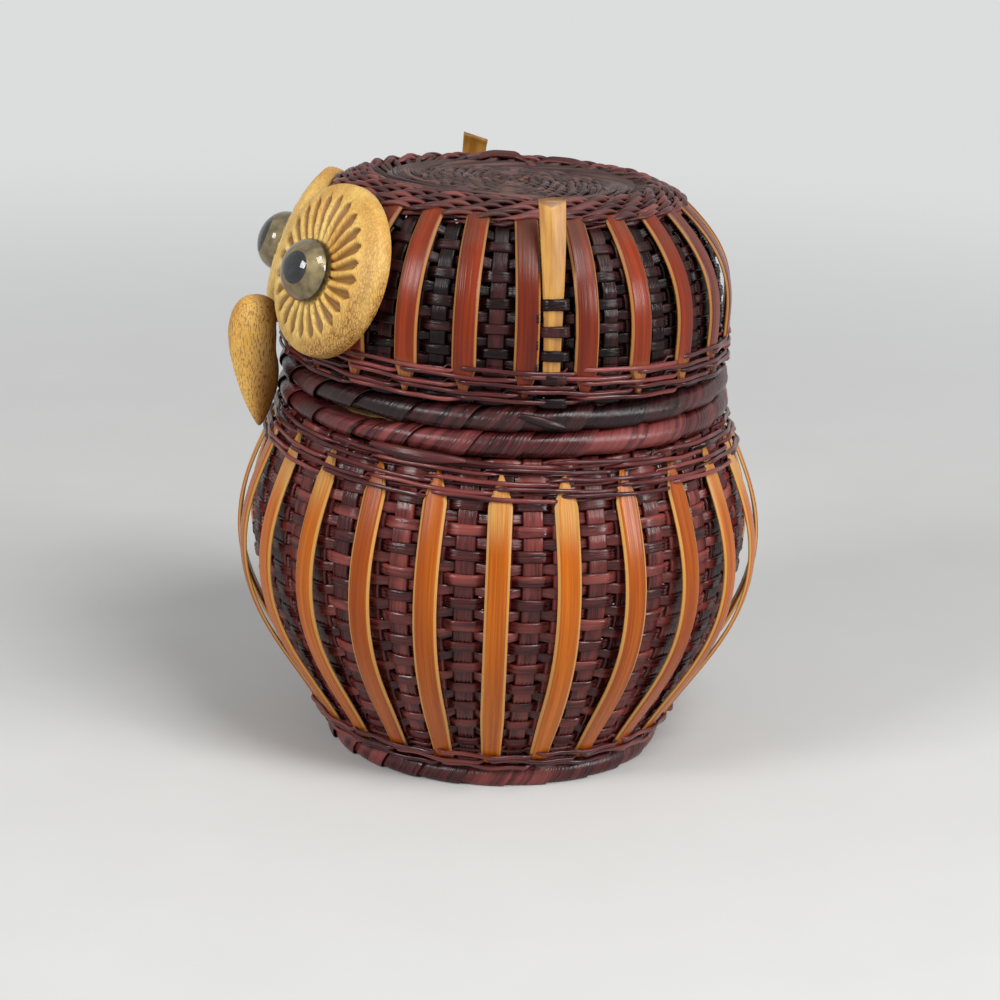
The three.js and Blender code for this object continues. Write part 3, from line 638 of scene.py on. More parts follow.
glass, _, skin = new_material("eye glass")
fill(skin, {"Base Color": "d8d4c6", "Roughness": 0.03, "Transmission Weight": 1.0, "IOR": 1.5})
eye_paint, skin, _ = clouded("olive eye paint", 400.0, 3.0, (0.3, 0.7), ("847456", "c0ae84"))
fill(skin, {"Metallic": 0.5, "Roughness": 0.35})
pupil, skin, _ = clouded("pupil enamel", 600.0, 2.0, (0.35, 0.7), ("0b1118", "223040"))
fill(skin, {"Roughness": 0.2})
steel, skin, cloud = clouded("dull wire", 900.0, 3.0, (0.4, 0.7), ("8f8a80", "5c4c3c"))
fill(skin, {"Metallic": 1.0, "Roughness": ramp(cloud, 0.3, 0.8, 0.3, 0.6)})
print("materials made:", len(bpy.data.materials))


# %% [markdown]
# Plain weave: each weaver goes over one stake and under the next, and the row above does the opposite.
# The strands are stiff, so a weaver lies nearly straight over a stake and dives quickly between two. A
# hyperbolic tangent of a cosine gives that shape. The belly and the lid are woven alike, so one small class
# holds what differs between them.

# %% Over and under
STIFFNESS = 2.2
WEAVER_SWING, STAKE_SWING, WEAVE_DEPTH = 0.8, 0.2, 1.2


def over_under(steps):
    return tanh(STIFFNESS * cos(pi * steps)) / tanh(STIFFNESS)


class Weave:
    """A woven wall: its body, its curve, its rows from foot to top, and the turn of its first stake."""
    def __init__(self, body, finish, side, foot, top, rows, turn, seed):
        self.body, self.finish, self.side, self.foot, self.top = body, finish, side, foot, top
        self.rows, self.turn, self.seed = rows, turn, seed

    def stake(self, angle):
        return (angle - FACE - self.turn) / STAKE_SPACING

    def row_height(self, row):
        return lerp(self.foot, self.top, (row + 0.5) / self.rows)

    def row_at(self, height):
        return (height - self.foot) / (self.top - self.foot) * self.rows - 0.5


basket_weave = Weave("basket", wicker, basket_side, WALL_FOOT, WALL_NECK, 28, BASKET_TURN, 1.0)
lid_weave = Weave("lid", shaded_lid_wicker, lid_side, LID_FOOT, LID_FOOT + LID_RISE, 14, LID_TURN, 2.0)


def finish_weave(mesh, weave, part):
    lean_lid(mesh)
    finish_piece(mesh, f"{weave.body}_{part}", weave.body, [weave.finish], [f"{weave.body}_wall"])


# %% [markdown]
# The stakes stand side by side from the foot to the rim. Each is a flat bundle, pushed in and out by the
# rows that pass it, and every second one is wider. They draw together where the wall is narrow.

# %% Stakes
def weave_stakes(weave, width):
    mesh = bmesh.new()
    section = ribbed(width, thickness=1.0, ribs=5, depth=0.32)
    master = strip(section, int(weave.rows * 2.5), weave.top - weave.foot)
    for stake in range(STAKES):
        centre = FACE + weave.turn + stake * STAKE_SPACING
        slant = 0.35 * wander(stake * 3.7, weave.seed, 0.5)
        wide = 1.3 if stake % 2 else 1.0

        def bend(co):
            height = lerp(weave.foot, weave.top, co.z)
            tight = 0.8 + 0.2 * smooth(44, 62, weave.side(height)[0])
            lift = -STAKE_SWING * over_under(weave.row_at(height) + stake) - WEAVE_DEPTH
            lift += 0.08 * wander(stake * 5.1, height * 0.2, weave.seed)
            across = co.x * tight * wide + slant * sin(height * 0.07 + stake)
            radius, level = on(weave.side, height, lift + co.y)
            return place(centre + across / radius, radius, level)

        lay(mesh, master, bend, chance(stake, weave.seed, 2.0))
    finish_weave(mesh, weave, "stakes")


# %% [markdown]
# The weavers are hoops, one for each row. Each drifts a little up and down and swells and thins, as hand
# work does. Something behind the wall may push them out.

# %% Weavers
def weave_weavers(weave, height, pushed=None):
    mesh = bmesh.new()
    section = ribbed(height, thickness=0.85, ribs=3, depth=0.28, back=1.1)
    master = hoop(swapped(section), steps=288, length=380.0)
    for row in range(weave.rows):
        middle = weave.row_height(row)

        def path(angle, out, up):
            over = over_under(weave.stake(angle) + row)
            lift = WEAVER_SWING * over - WEAVE_DEPTH
            lift += 0.12 * round_wander(angle, 9, row * 2.3 + weave.seed)
            drift = 0.32 * round_wander(angle, 5, row * 5.7 + weave.seed)
            slim = 1.0 + 0.16 * round_wander(angle, 11, row * 9.1 + weave.seed)
            if pushed:
                lift += pushed(angle, middle, over)
            at = min(max(middle + drift, weave.foot + 0.2), weave.top - 0.2)
            return on(weave.side, at, lift + out, up * slim)

        lay(mesh, master, round_bend(path), chance(row, weave.seed, 5.0))
    finish_weave(mesh, weave, "weavers")


weave_stakes(basket_weave, width=5.2)
weave_weavers(basket_weave, height=2.75)

# %% [markdown]
# The ears are pushed down between the lid's weavers, which bulge out over them. So the lid's weavers get
# a push outwards where an ear passes behind them.

# %% The lid's weave
EAR_ANGLES = [FACE + radians(side * 90 - 1.2) for side in (1, -1)]
EAR_EMERGES = 131.0


def over_the_ears(angle, height, over):
    near = min(apart(angle, ear) for ear in EAR_ANGLES) / STAKE_SPACING
    if height > EAR_EMERGES or over < 0:
        return 0.0
    return lerp(2.3, 3.4, smooth(112, 130, height)) * smooth(0.95, 0.42, near)


weave_stakes(lid_weave, width=4.6)
weave_weavers(lid_weave, height=2.45, pushed=over_the_ears)


# %% [markdown]
# A slat is a strip with shaved bevels and a pointed end. It is flat, so it stands off the round wall, more
# in its middle than at its bound ends.

# %% Bamboo slats
SLAT_WIDTH, SLAT_THICKNESS, SLAT_STAND = 6.0, 1.0, 0.35
POINT_LENGTH, POINT_WIDTH = 6.5, 0.16


def slat_section(bevel):
    half, face = SLAT_WIDTH / 2, SLAT_WIDTH / 2 - bevel
    edge, shoulder, ridge = SLAT_THICKNESS * 0.3, SLAT_THICKNESS * 0.92, SLAT_THICKNESS * 1.04
    left = [(-half, 0.0), (-half, edge), (-face, shoulder)]
    return [*left, (0.0, ridge), *[(-across, out) for across, out in reversed(left)]]


def slats(weave, name, replaced, finish, blunt, tip, bow, bevel, blunt_width):
    """Slats from the height of their blunt ends to the height of their tips."""
    mesh = bmesh.new()
    length = abs(tip - blunt)
    master = strip(slat_section(bevel), 44, length, sharp=(1, 2, 4, 5))
    shoulder = 1.0 - POINT_LENGTH / length
    for number in range(SLATS):
        centre = FACE + weave.turn + (2 * number + 1) * STAKE_SPACING
        sway = 0.25 * wander(number * 2.9, 7.0, weave.seed)
        bulge = bow * (1.0 + 0.12 * wander(number * 1.7, 3.0, weave.seed))
        reach = 0.7 * wander(number * 4.3, 5.0, weave.seed)

        def bend(co):
            share = co.z
            height = lerp(blunt, tip + reach * (1 if tip > blunt else -1), share)
            width = lerp(blunt_width, 1.0, smooth(0.0, 0.22, share))
            if share > shoulder:
                width *= lerp(1.0, POINT_WIDTH, (share - shoulder) / (1.0 - shoulder))
            lift = SLAT_STAND + bulge * sin(pi * share) ** 2
            radius, level = on(weave.side, height, lift + co.y)
            across = co.x * width + sway * sin(pi * share)
            return place(centre + across / radius, radius, level)

        lay(mesh, master, bend, chance(number, weave.seed, 8.0))
    lean_lid(mesh)
    finish_piece(mesh, name, weave.body, [finish], replaced)


basket_slat_nodes = [f"basket_slat_{number:02d}" for number in range(1, SLATS + 1)]
slats(basket_weave, "basket_slats", basket_slat_nodes, amber,
      blunt=8.6, tip=88.0, bow=3.0, bevel=0.95, blunt_width=0.82)
slats(lid_weave, "lid_strips", ["lid_slats"], russet,
      blunt=147.0, tip=107.0, bow=1.2, bevel=0.7, blunt_width=0.95)


# %% [markdown]
# A binding is worked in rows of two strands. Each strand runs in front of two slats and then behind two,
# while its partner does the opposite, so one line of cane crosses every slat and the bamboo shows between.

# %% Bindings
RUN = 8.0


def binding_rows(weave, part, heights, thick, tall, stand, fall):
    """Stand is how far a strand lies out over a slat, and fall how far it sinks in passing."""
    def path(row, strand, angle, out, up):
        stake = weave.stake(angle)
        turn = ((stake - 0.4) / RUN + strand / 2 + row * 0.25) % 1.0
        front = smooth(0.0, 0.09, turn) * smooth(0.59, 0.5, turn)
        held = 0.5 - 0.5 * cos(pi * stake)
        lift = lerp(-0.7, lerp(stand - 0.55, stand, held), front)
        lift += 0.1 * round_wander(angle, 14, row * 3 + strand)
        drop = fall * cos(pi * turn / 0.55) if turn < 0.55 else -fall
        drop += 0.25 * round_wander(angle, 7, row * 7 + strand * 1.7)
        return on(weave.side, heights[row] + drop, lift + out, up * (0.7 + 0.3 * front))

    mesh = bmesh.new()
    master = hoop(oval(thick, tall, corners=8), steps=336, length=380.0)
    lay_pairs(mesh, master, len(heights), weave.seed, path)
    name = f"{weave.body}_{part}"
    finish_piece(mesh, name + "_twine", weave.body, [twine], [name + "_binding"])


binding_rows(basket_weave, "upper",
             [82.6, 84.3, 86.2, 88.6, 90.3], thick=0.85, tall=1.15, stand=1.95, fall=0.55)
binding_rows(basket_weave, "lower",
             [7.5, 9.3, 11.2], thick=1.0, tall=1.35, stand=2.05, fall=0.6)
binding_rows(lid_weave, "lower",
             [106.7, 108.5, 110.4, 112.2, 113.8], thick=0.85, tall=1.15, stand=1.95, fall=0.5)


# %% [markdown]
# The rims are wrapped in wide splints. Where one runs out, its end is tucked under the wraps: it tapers
# both ways and bulges out between. Three such ends show, and they are made first.

# %% Tucked ends
def tucked_end(mesh, radius, width, bulge, ends):
    """Ends are the angle in degrees and the height at which it comes out and goes in."""
    (from_angle, from_height), (to_angle, to_height) = ends
    length = radians(abs(to_angle - from_angle)) * radius

    def bend(co):
        share = co.z
        taper = sin(pi * lerp(0.06, 0.94, share)) ** 0.6
        height = lerp(from_height, to_height, share) + co.x * taper
        out = bulge * sin(pi * share) - 0.5 + co.y + 0.35 * cos(co.x * 1.6)
        return place(radians(lerp(from_angle, to_angle, share)), radius + out, height)

    lay(mesh, strip(ribbed(width, thickness=0.7, ribs=4, depth=0.16), 24, length), bend, 0.35)


tucked = bmesh.new()
tucked_end(tucked, radius=59.3, width=3.4, bulge=1.7, ends=[(-46, 92.3), (-21, 91.2)])
tucked_end(tucked, radius=59.2, width=2.6, bulge=1.0, ends=[(150, 92.0), (168, 91.3)])
finish_piece(tucked, "basket_tucked_splints", "basket", [splint_red], ["basket_rim"])
tucked = bmesh.new()
tucked_end(tucked, radius=58.6, width=2.6, bulge=0.9, ends=[(-9, 103.2), (3, 100.0)])
finish_piece(tucked, "lid_tucked_splint", "lid", [splint_dark], ["lid_rim"])


# %% [markdown]
# Each rim is a hoop of cane wrapped in wide flat splints. A splint goes once round the hoop and moves on
# by its own width, and each one laps over the edge of the one before.

# %% Wrapped rims
WRAPS, OVERLAP, MORE_THAN_ROUND = 24, 1.16, 1.12
SPLINT_THICKNESS, EDGE_THICKNESS, EDGE_POINTS = 0.4, 0.1, 9
CORE_UNDER, SPLINT_UNDER, LAP = 1.6, 1.25, 1.1
GAP_ANGLE, GAP_SPREAD = FACE + radians(36), radians(11)


def wrapped_rim(name, node, body, radius, height, thickness, finish, seed, pressed=(0, 0.0), lowest=None):
    """Pressed is a side, 1 above or -1 below, and how far it is pressed in where the hoop shows."""
    mesh = bmesh.new()
    core_width = thickness - CORE_UNDER
    core = hoop(oval(core_width, core_width, corners=12), steps=96, length=300.0)
    lay(mesh, core, round_bend(lambda angle, out, up: (radius + out, height + up)), 0.2)
    pitch = tau / WRAPS
    width = OVERLAP * pitch * radius
    face = [(width * (i / (EDGE_POINTS - 1) - 0.5), SPLINT_THICKNESS) for i in range(EDGE_POINTS)]
    section = [*face, (width / 2, EDGE_THICKNESS), (0.0, 0.0), (-width / 2, 0.0)]
    sharp = (0, EDGE_POINTS - 1, EDGE_POINTS, EDGE_POINTS + 2)
    master = strip(section, 30, pi * thickness, sharp)
    for wrap in range(WRAPS):
        shift = 0.16 * wander(wrap * 3.3, seed, 1.0)
        slack = 0.25 * wander(wrap * 2.1, seed, 4.0)
        wide = 1.0 + 0.12 * wander(wrap * 5.9, seed, 6.0)
        twist = 0.25 * wander(wrap * 4.7, seed, 9.0)

        def bend(co):
            turns = (co.z - 0.5) * MORE_THAN_ROUND
            share = co.x / width + 0.5
            lap = LAP * share + 0.2 * sin(pi * share) + slack * share * (1 - share)
            reach = thickness / 2 - SPLINT_UNDER + lap + co.y
            angle = FACE + (wrap + shift + turns * (1.0 + twist)) * pitch + co.x * wide / radius
            outward, upward = cos(tau * turns), sin(tau * turns)
            level = height + reach * upward
            side, depth = pressed
            if upward * side > 0:
                level -= side * depth * exp(-(apart(angle, GAP_ANGLE) / GAP_SPREAD) ** 2) * abs(upward)
            if lowest is not None:
                level = max(level, lowest)
            return place(angle, radius + reach * outward, level)

        lay(mesh, master, bend, chance(wrap, seed, 3.0))
    finish_piece(mesh, name, body, [finish], [node])


wrapped_rim("foot_wrap", "foot_rim", "basket", radius=41.4, height=2.6, thickness=6.9,
            finish=splint_red, seed=1.0, lowest=0.0)
wrapped_rim("basket_wrap", "basket_rim", "basket", radius=55.6, height=95.2, thickness=6.6,
            finish=splint_red, seed=2.0, pressed=(1, 1.3))
wrapped_rim("lid_wrap", "lid_rim", "lid", radius=55.3, height=101.5, thickness=6.4,
            finish=splint_dark, seed=3.0, pressed=(-1, 1.0))

# %% [markdown]
# The collar hoop is one flat bamboo strip bent into a ring, so a spun rectangle with its edges eased is
# all it takes.

# %% Collar hoop
COLLAR_RADIUS, COLLAR_MIDDLE, COLLAR_HALF = 50.9, 97.9, 7.4
collar = bmesh.new()
low, high = -COLLAR_HALF, COLLAR_HALF
collar_section = [(-0.5, low), (0.5, low), (0.58, 0.0), (0.5, high), (-0.5, high)]
collar_strip = hoop(collar_section, steps=144, length=320.0)
lay(collar, collar_strip, round_bend(lambda angle, out, up: (COLLAR_RADIUS + out, COLLAR_MIDDLE + up)), 0.4)
finish_piece(collar, "collar_band", "collar", [hoop_bamboo], ["collar_hoop"])


# %% [markdown]
# The middle of the lid's top and the basket's floor are twined: two strands cross between every pair of
# stakes, so each row looks like a flat rope. Where the stakes come close together, some are taken as one.

# %% Twined rows
def twined_rows(mesh, master, curve, rows, turn, out, swing, seed):
    """Rows hold how far along the curve each lies, and its number of stakes."""
    def path(row, strand, angle, thick, tall):
        at, stakes = rows[row]
        stake = (angle - FACE - turn) / (tau / stakes) + strand + row * 0.5
        lift = out + swing * cos(pi * stake)
        lift += 0.12 * round_wander(angle, 6, row * 3.1 + seed)
        side = 0.5 * sin(pi * stake)
        side += 0.5 * round_wander(angle, 4, row * 6.3 + seed)
        return on(curve, at + side, lift + thick, tall)

    lay_pairs(mesh, master, len(rows), seed, path)


def radial_stakes(mesh, curve, count, first, last, turn, out, width, seed):
    """Stakes that point at the middle, between two places along the curve."""
    master = strip(ribbed(width, thickness=0.9, ribs=4, depth=0.2), 16, abs(last - first))
    for stake in range(count):
        centre = FACE + turn + stake * tau / count

        def bend(co):
            radius, height = on(curve, lerp(first, last, co.z), out + co.y)
            narrow = min(1.0, radius / 12.0)
            return place(centre + co.x * narrow / max(radius, 1.5), radius, height)

        lay(mesh, master, bend, chance(stake, seed, 1.0))


def crossing_bundles(mesh, level, length, width, seed):
    """Three flat bundles laid across three others at the very middle, over and under by turns."""
    master = strip(ribbed(width, thickness=0.9, ribs=4, depth=0.2), 18, length)
    lane_width = width + 0.4
    for way in range(2):
        for lane in (-1, 0, 1):

            def bend(co):
                along = (co.z - 0.5) * length
                lift = 0.45 * over_under(along / lane_width + lane + way) + co.y
                point = Vector((along, lane * lane_width + co.x, level + lift))
                return Matrix.Rotation(FACE + way * pi / 2, 3, "Z") @ point

            lay(mesh, master, bend, chance(lane, way, seed))


# %% [markdown]
# The lid's outer rows are twined more boldly. Each strand thins where it dives under its partner, so what
# shows of it is a slanted leaf with a dark gap at both ends, and the rows look like shingles.

# %% Outer rows of the crown
LEAF_STAKES, LEAF_STEP = 1.5, 0.62
# Each row has its place in from the crown's edge, and how far it stands out.
LEAF_ROWS = [(0.1, -2.4), (0.2, -0.5), (1.9, -0.45), (3.6, -0.4), (5.3, -0.3), (6.9, -0.1), (8.3, -0.1)]


def leaf_path(row, strand, angle, thick, tall):
    inward, rise = LEAF_ROWS[row]
    stake = (angle - FACE - LID_TURN) / STAKE_SPACING
    turn = pi * (stake / LEAF_STAKES + strand + row * LEAF_STEP)
    front = smooth(-0.25, 0.75, cos(turn))
    lift = rise + 0.75 * cos(turn)
    lift += 0.22 * round_wander(angle, 9, row * 3.1 + strand)
    side = 0.62 * sin(turn) * lerp(0.4, 1.0, front)
    side += 0.4 * round_wander(angle, 7, row * 6.3 + strand * 0.2)
    slim = lerp(0.5, 1.0, front) * (1.0 + 0.25 * wander(angle * 9.0, row * 1.7, strand * 4.0))
    return on(crown, inward + side, lift + thick * slim, tall * slim)


cap = bmesh.new()
radial_stakes(cap, crown, 48, 0.0, 7.6, LID_TURN, out=-1.6, width=3.2, seed=1.0)
leaf_strand = hoop(oval(1.25, 1.75, corners=8), steps=384, length=260.0)
lay_pairs(cap, leaf_strand, len(LEAF_ROWS), 1.0, leaf_path)
lean_lid(cap)
finish_piece(cap, "lid_crown", "lid", [crown_fibre], ["lid_cap", "lid_slats"])

# %% [markdown]
# Inside the crest each stake is folded down, which leaves a dark gap beside it, and then runs on round the
# crown under the next ones. So the folded stakes lie over each other like a pinwheel.

# %% Folded stakes
FOLD_LENGTH, FOLD_WIDTH, FOLD_TURN = 34.0, 2.8, radians(70)
FOLD_START, FOLD_BEND, FOLD_RUN = 7.6, 12.8, 9.5
folds = bmesh.new()
radial_stakes(folds, crown, 48, 6.0, 13.5, LID_TURN, out=-4.2, width=5.0, seed=6.0)
fold_strand = strip(ribbed(FOLD_WIDTH, thickness=1.0, ribs=2, depth=0.25), 28, FOLD_LENGTH)
for stake in range(STAKES):
    start = FACE + (stake + 0.5 * wander(stake * 1.9, 8.0, 1.0)) * STAKE_SPACING
    reach = 1.0 + 0.7 * wander(stake * 2.7, 6.0, 0.0)
    rise = 1.3 * wander(stake * 3.1, 2.0, 0.0)

    def bend(co):
        share = co.z
        folded = smooth(0.0, 0.24, share)
        at = lerp(FOLD_START, FOLD_BEND, folded) + FOLD_RUN * reach * max(share - 0.2, 0.0)
        swing = FOLD_TURN * max(share - 0.06, 0.0) ** 1.1 * reach
        lift = lerp(-1.0, 0.5, smooth(0.0, 0.1, share)) + rise * sin(pi * share)
        lift -= 0.9 * smooth(0.35, 1.0, share)
        turned = smooth(0.12, 0.36, share)
        slim = lerp(0.8, 1.0, turned) * lerp(1.0, 0.45, smooth(0.8, 1.0, share))
        tip = 0.5 * co.x * turned
        radius, height = on(crown, at - co.x * slim * turned, lift + co.y + tip)
        return place(start + swing + co.x * slim * (1.0 - turned) / radius, radius, height)

    lay(folds, fold_strand, bend, chance(stake, 4.0, 4.0))

# %% [markdown]
# The middle of the crown has thinner twining, with half as many stakes near its centre, and crossed
# bundles where they all start.

# %% The crown's middle
inner_rows = [(22.4 + 1.7 * i, 24) for i in range(6)] + [(32.4 + 1.7 * i, 12) for i in range(5)]
inner_strand = hoop(oval(1.0, 1.5, corners=8), steps=192, length=150.0)
radial_stakes(folds, crown, 24, 12.6, 43.0, LID_TURN, out=-1.0, width=3.4, seed=2.0)
twined_rows(folds, inner_strand, crown, inner_rows, LID_TURN, out=-0.45, swing=0.65, seed=2.0)
crossing_bundles(folds, level=150.1, length=9.0, width=1.5, seed=3.0)
lean_lid(folds)
finish_piece(folds, "lid_folded_stakes", "lid", [crown_dusty], ["lid_cap"])

# %% [markdown]
# Two thick strands run along the crest from either side, cross at the back and are tucked in.

# %% Crossed strands
crossed = bmesh.new()
thick_strand = strip(ribbed(2.8, thickness=1.3, ribs=3, depth=0.28), 30, 26.0)
for from_angle, to_angle, inward, above in ((190, 153, 17.0, 0.9), (126, 163, 14.5, 0.3)):

    def bend(co):
        share = co.z
        angle = radians(lerp(from_angle, to_angle, share ** 0.9))
        at = 8.2 + 1.2 * share + (inward - 9.4) * smooth(0.6, 1.0, share)
        lift = lerp(-0.9, above, smooth(0.0, 0.4, share)) + 0.6 * sin(pi * share)
        lift -= 1.6 * smooth(0.85, 1.0, share)
        turned = smooth(0.6, 0.95, share)
        radius, height = on(crown, at - co.x * (1.0 - turned), lift + co.y)
        way = 1 if to_angle > from_angle else -1
        return place(angle - way * co.x * turned / radius, radius, height)

    lay(crossed, thick_strand, bend, 0.7 * above)
lean_lid(crossed)
finish_piece(crossed, "crossed_strands", "lid", [crown_fibre], ["lid_cap"])

# %% [markdown]
# The basket's floor can't be seen in the photograph. Such a basket starts there, with bundles crossed in
# the middle and twined rows out to the foot, so it is made like the crown's middle.

# %% The basket's floor
base = bmesh.new()
radial_stakes(base, floor_disc, 48, 0.0, 22.0, BASKET_TURN, out=0.0, width=3.4, seed=5.0)
radial_stakes(base, floor_disc, 24, 18.0, 38.0, BASKET_TURN, out=0.0, width=3.2, seed=6.0)
floor_rows = [(1.0 + 2.1 * i, 48) for i in range(9)] + [(19.9 + 2.1 * i, 24) for i in range(8)]
floor_strand = hoop(oval(0.9, 1.6, corners=8), steps=192, length=230.0)
twined_rows(base, floor_strand, floor_disc, floor_rows, BASKET_TURN, out=0.0, swing=0.55, seed=7.0)
crossing_bundles(base, level=9.0, length=17.0, width=3.6, seed=8.0)
finish_piece(base, "basket_floor", "basket", [wicker], ["basket_base"])


# %% [markdown]
# Each eye sits on its own slanted axis. A matrix carries what is made upright about +Z onto that axis.

# %% The eyes' own axes
EYE_TILT, EYE_YAW, EYE_ROUND = radians(18), radians(3), radians(26.4)
EYE_PLACES = {1: (57.67, 132.72), -1: (56.27, 128.52)}
GLASS_DROP = 1.4
CLEAR_STEP = 0.1


def eye_matrix(side):
    centre = place(FACE + side * EYE_ROUND, *EYE_PLACES[side])
    facing = FACE + side * (EYE_ROUND - EYE_YAW)
    forward = place(facing, cos(EYE_TILT), sin(EYE_TILT))
    across = place(facing + pi / 2, 1, 0)
    up = forward.cross(across)
    return Matrix.Translation(centre) @ Matrix((across, up, forward)).transposed().to_4x4()


def spun(profile, steps):
    """A solid spun about +Z from a profile that starts and ends on the axis."""
    mesh = bmesh.new()
    points = [mesh.verts.new((radius, 0, height)) for radius, height in profile]
    sides = [mesh.edges.new((points[i], points[i + 1])) for i in range(len(points) - 1)]
    bmesh.ops.spin(mesh, geom=points + sides, axis=(0, 0, 1), cent=(0, 0, 0), angle=tau,
                   steps=steps, use_merge=True, use_duplicate=False)
    bmesh.ops.remove_doubles(mesh, verts=mesh.verts, dist=1e-5)
    bmesh.ops.recalc_face_normals(mesh, faces=mesh.faces)
    for face in mesh.faces:
        face.smooth = True
    return mesh


# %% [markdown]
# The discs and the beak lie on the lid's front, not in it. So the lid's reach is worked out for each
# height, from its curve, its bowed slats and its lower binding.

# %% How far out the lid comes
SLATS_LOW, SLATS_HIGH, SLATS_OUT, SLATS_BOW = 107.0, 147.0, 1.9, 1.2
BINDING_TOP, BINDING_REACH, CROWN_TOP = 114.8, 60.9, 150.5


def lid_reach(height):
    """How far out the lid's slats and lower binding come at a height."""
    if height < BINDING_TOP:
        return BINDING_REACH
    if height > CROWN_TOP:
        return 0.0
    height = min(height, SLATS_HIGH)
    share = (height - SLATS_LOW) / (SLATS_HIGH - SLATS_LOW)
    return lid_side(height)[0] + SLATS_OUT + SLATS_BOW * sin(pi * share) ** 2


print("the lid's reach under the eyes, mm:", round(lid_reach(EYE_PLACES[1][1]), 1))

# %% [markdown]
# A disc is turned on a lathe: its profile is a low dome with a rounded edge, spun once round. The rings are
# close together where it will be carved, so that the gouge has points to push in.

# %% The turned disc
DISC_RADIUS, DISC_EDGE, DISC_DOME, SEAT = 21.8, 3.8, 3.6, 8.6


def dome_height(radius):
    share = max(radius - SEAT, 0.0) / (DISC_RADIUS - SEAT)
    return DISC_DOME * (1.0 - share ** 2.1)


def disc_profile():
    back = [(radius, -DISC_EDGE) for radius in (0.0, 7.0, 13.0, 18.0, 21.2)]
    edge = [(DISC_RADIUS, -DISC_EDGE + 0.6), (DISC_RADIUS + 0.05, -1.6), (DISC_RADIUS - 0.1, -0.5)]
    rim = [21.4, 20.8, 20.1, 19.3, 18.7, 18.2]
    carved = [17.8 - 0.4 * step for step in range(25)]
    dome = [(radius, dome_height(radius)) for radius in rim + carved]
    return [*back, *edge, *dome, (3.0, DISC_DOME), (0.0, DISC_DOME)]


# %% [markdown]
# A gouge cuts grooves that start at the glass, widen outwards and run out before the rim. The back is
# hollowed, so the disc lies on the slats: each point of the back that would be inside the lid moves forward
# until it is clear.

# %% Carved discs
DISC_BACK, BAND_START, BAND_FULL = -0.6, 15.5, 20.0
GROOVES, GROOVE_START, GROOVE_END, GROOVE_DEPTH = 24, 7.9, 18.4, 1.7


def groove_share(x, y):
    """How deep the gouge went here, from 0 to 1. The cuts aim at the glass, which is below the middle."""
    radius = hypot(x, y + GLASS_DROP * smooth(17.0, 8.0, hypot(x, y)))
    angle = atan2(y + GLASS_DROP * smooth(17.0, 8.0, radius), x)
    spacing = tau / GROOVES
    number = round(angle / spacing) % GROOVES
    end = GROOVE_END - 1.7 * cos(angle) + 0.9 * wander(number * 3.7, 2.0, 5.0)
    if not GROOVE_START < radius < end:
        return 0.0
    run = (radius - GROOVE_START) / (end - GROOVE_START)
    half = lerp(0.5, 1.75, min(run / 0.8, 1.0)) * sqrt(max(1.0 - smooth(0.72, 1.0, run) ** 1.5, 0.0))
    off = abs((angle + spacing / 2) % spacing - spacing / 2) * radius
    return max(1.0 - off / max(half, 0.05), 0.0) ** 0.85 * lerp(0.6, 1.0, run)


def carved_disc(side, hand):
    mesh = spun(disc_profile(), 336)
    carve_and_shade = mesh.verts.layers.float.new("carve_and_shade")
    band = mesh.verts.layers.float.new("band")
    for vert in mesh.verts:
        x, y = vert.co.x, vert.co.y
        low_side = smooth(-4.0, 18.0, side * 0.6 * x - y)
        vert[band] = smooth(BAND_START, BAND_FULL, hypot(x, y)) * lerp(0.35, 1.0, low_side)
        if vert.co.z > DISC_BACK:
            share = groove_share(x, y)
            vert[carve_and_shade] = smooth(0.0, 0.5, share)
            vert.co.z -= GROOVE_DEPTH * share
            vert.co.z += 0.12 * wander(x * 0.5, y * 0.5, side * 4.0)
    seat = eye_matrix(side)
    forward = (seat.to_3x3() @ Vector((0, 0, 1))) * CLEAR_STEP
    for vert in mesh.verts:
        behind = vert.co.z < DISC_BACK
        vert.co = seat @ vert.co
        while behind and hypot(vert.co.x, vert.co.y) < lid_reach(vert.co.z):
            vert.co += forward
    finish_piece(mesh, f"carved_disc_{hand}", "lid", [disc_wood], [f"eye_disc_{hand}"])


# %% [markdown]
# The glass is a dome with a short upright edge. Inside it a painted core narrows towards the front, and its
# front end is the dark pupil. So the pupil is seen forward of the wood, and the paint shows round it.

# %% Glass eyes
GLASS_BACK, GLASS_RADIUS, GLASS_HEIGHT, GLASS_UPRIGHT, GLASS_BEVEL = 3.9, 8.0, 7.4, 0.8, 0.3
PUPIL_RADIUS, CORE_RADIUS, CORE_BACK, CORE_DEPTH, CORE_EDGE = 3.5, 5.8, 4.2, 4.0, 0.3
GLASS_STEPS, CORE_STEPS = 20, 6


def glass_profile():
    bevel = GLASS_BEVEL
    yield from [(0.0, GLASS_BACK), (GLASS_RADIUS - bevel, GLASS_BACK), (GLASS_RADIUS, GLASS_BACK + bevel)]
    for step in range(GLASS_STEPS):
        turn = step / GLASS_STEPS * pi / 2
        rise = GLASS_UPRIGHT + (GLASS_HEIGHT - GLASS_UPRIGHT) * sin(turn)
        yield GLASS_RADIUS * cos(turn), GLASS_BACK + rise
    yield 0.0, GLASS_BACK + GLASS_HEIGHT


def core_profile(front):
    low = CORE_BACK + CORE_EDGE
    yield from [(0.0, CORE_BACK), (CORE_RADIUS, CORE_BACK), (CORE_RADIUS, low)]
    for step in range(1, CORE_STEPS + 1):
        share = step / CORE_STEPS
        yield lerp(CORE_RADIUS, PUPIL_RADIUS, share), lerp(low, front - 0.5, share ** 0.8)
    yield from [(PUPIL_RADIUS - 0.15, front - 0.25), (2.4, front - 0.05), (0.0, front)]


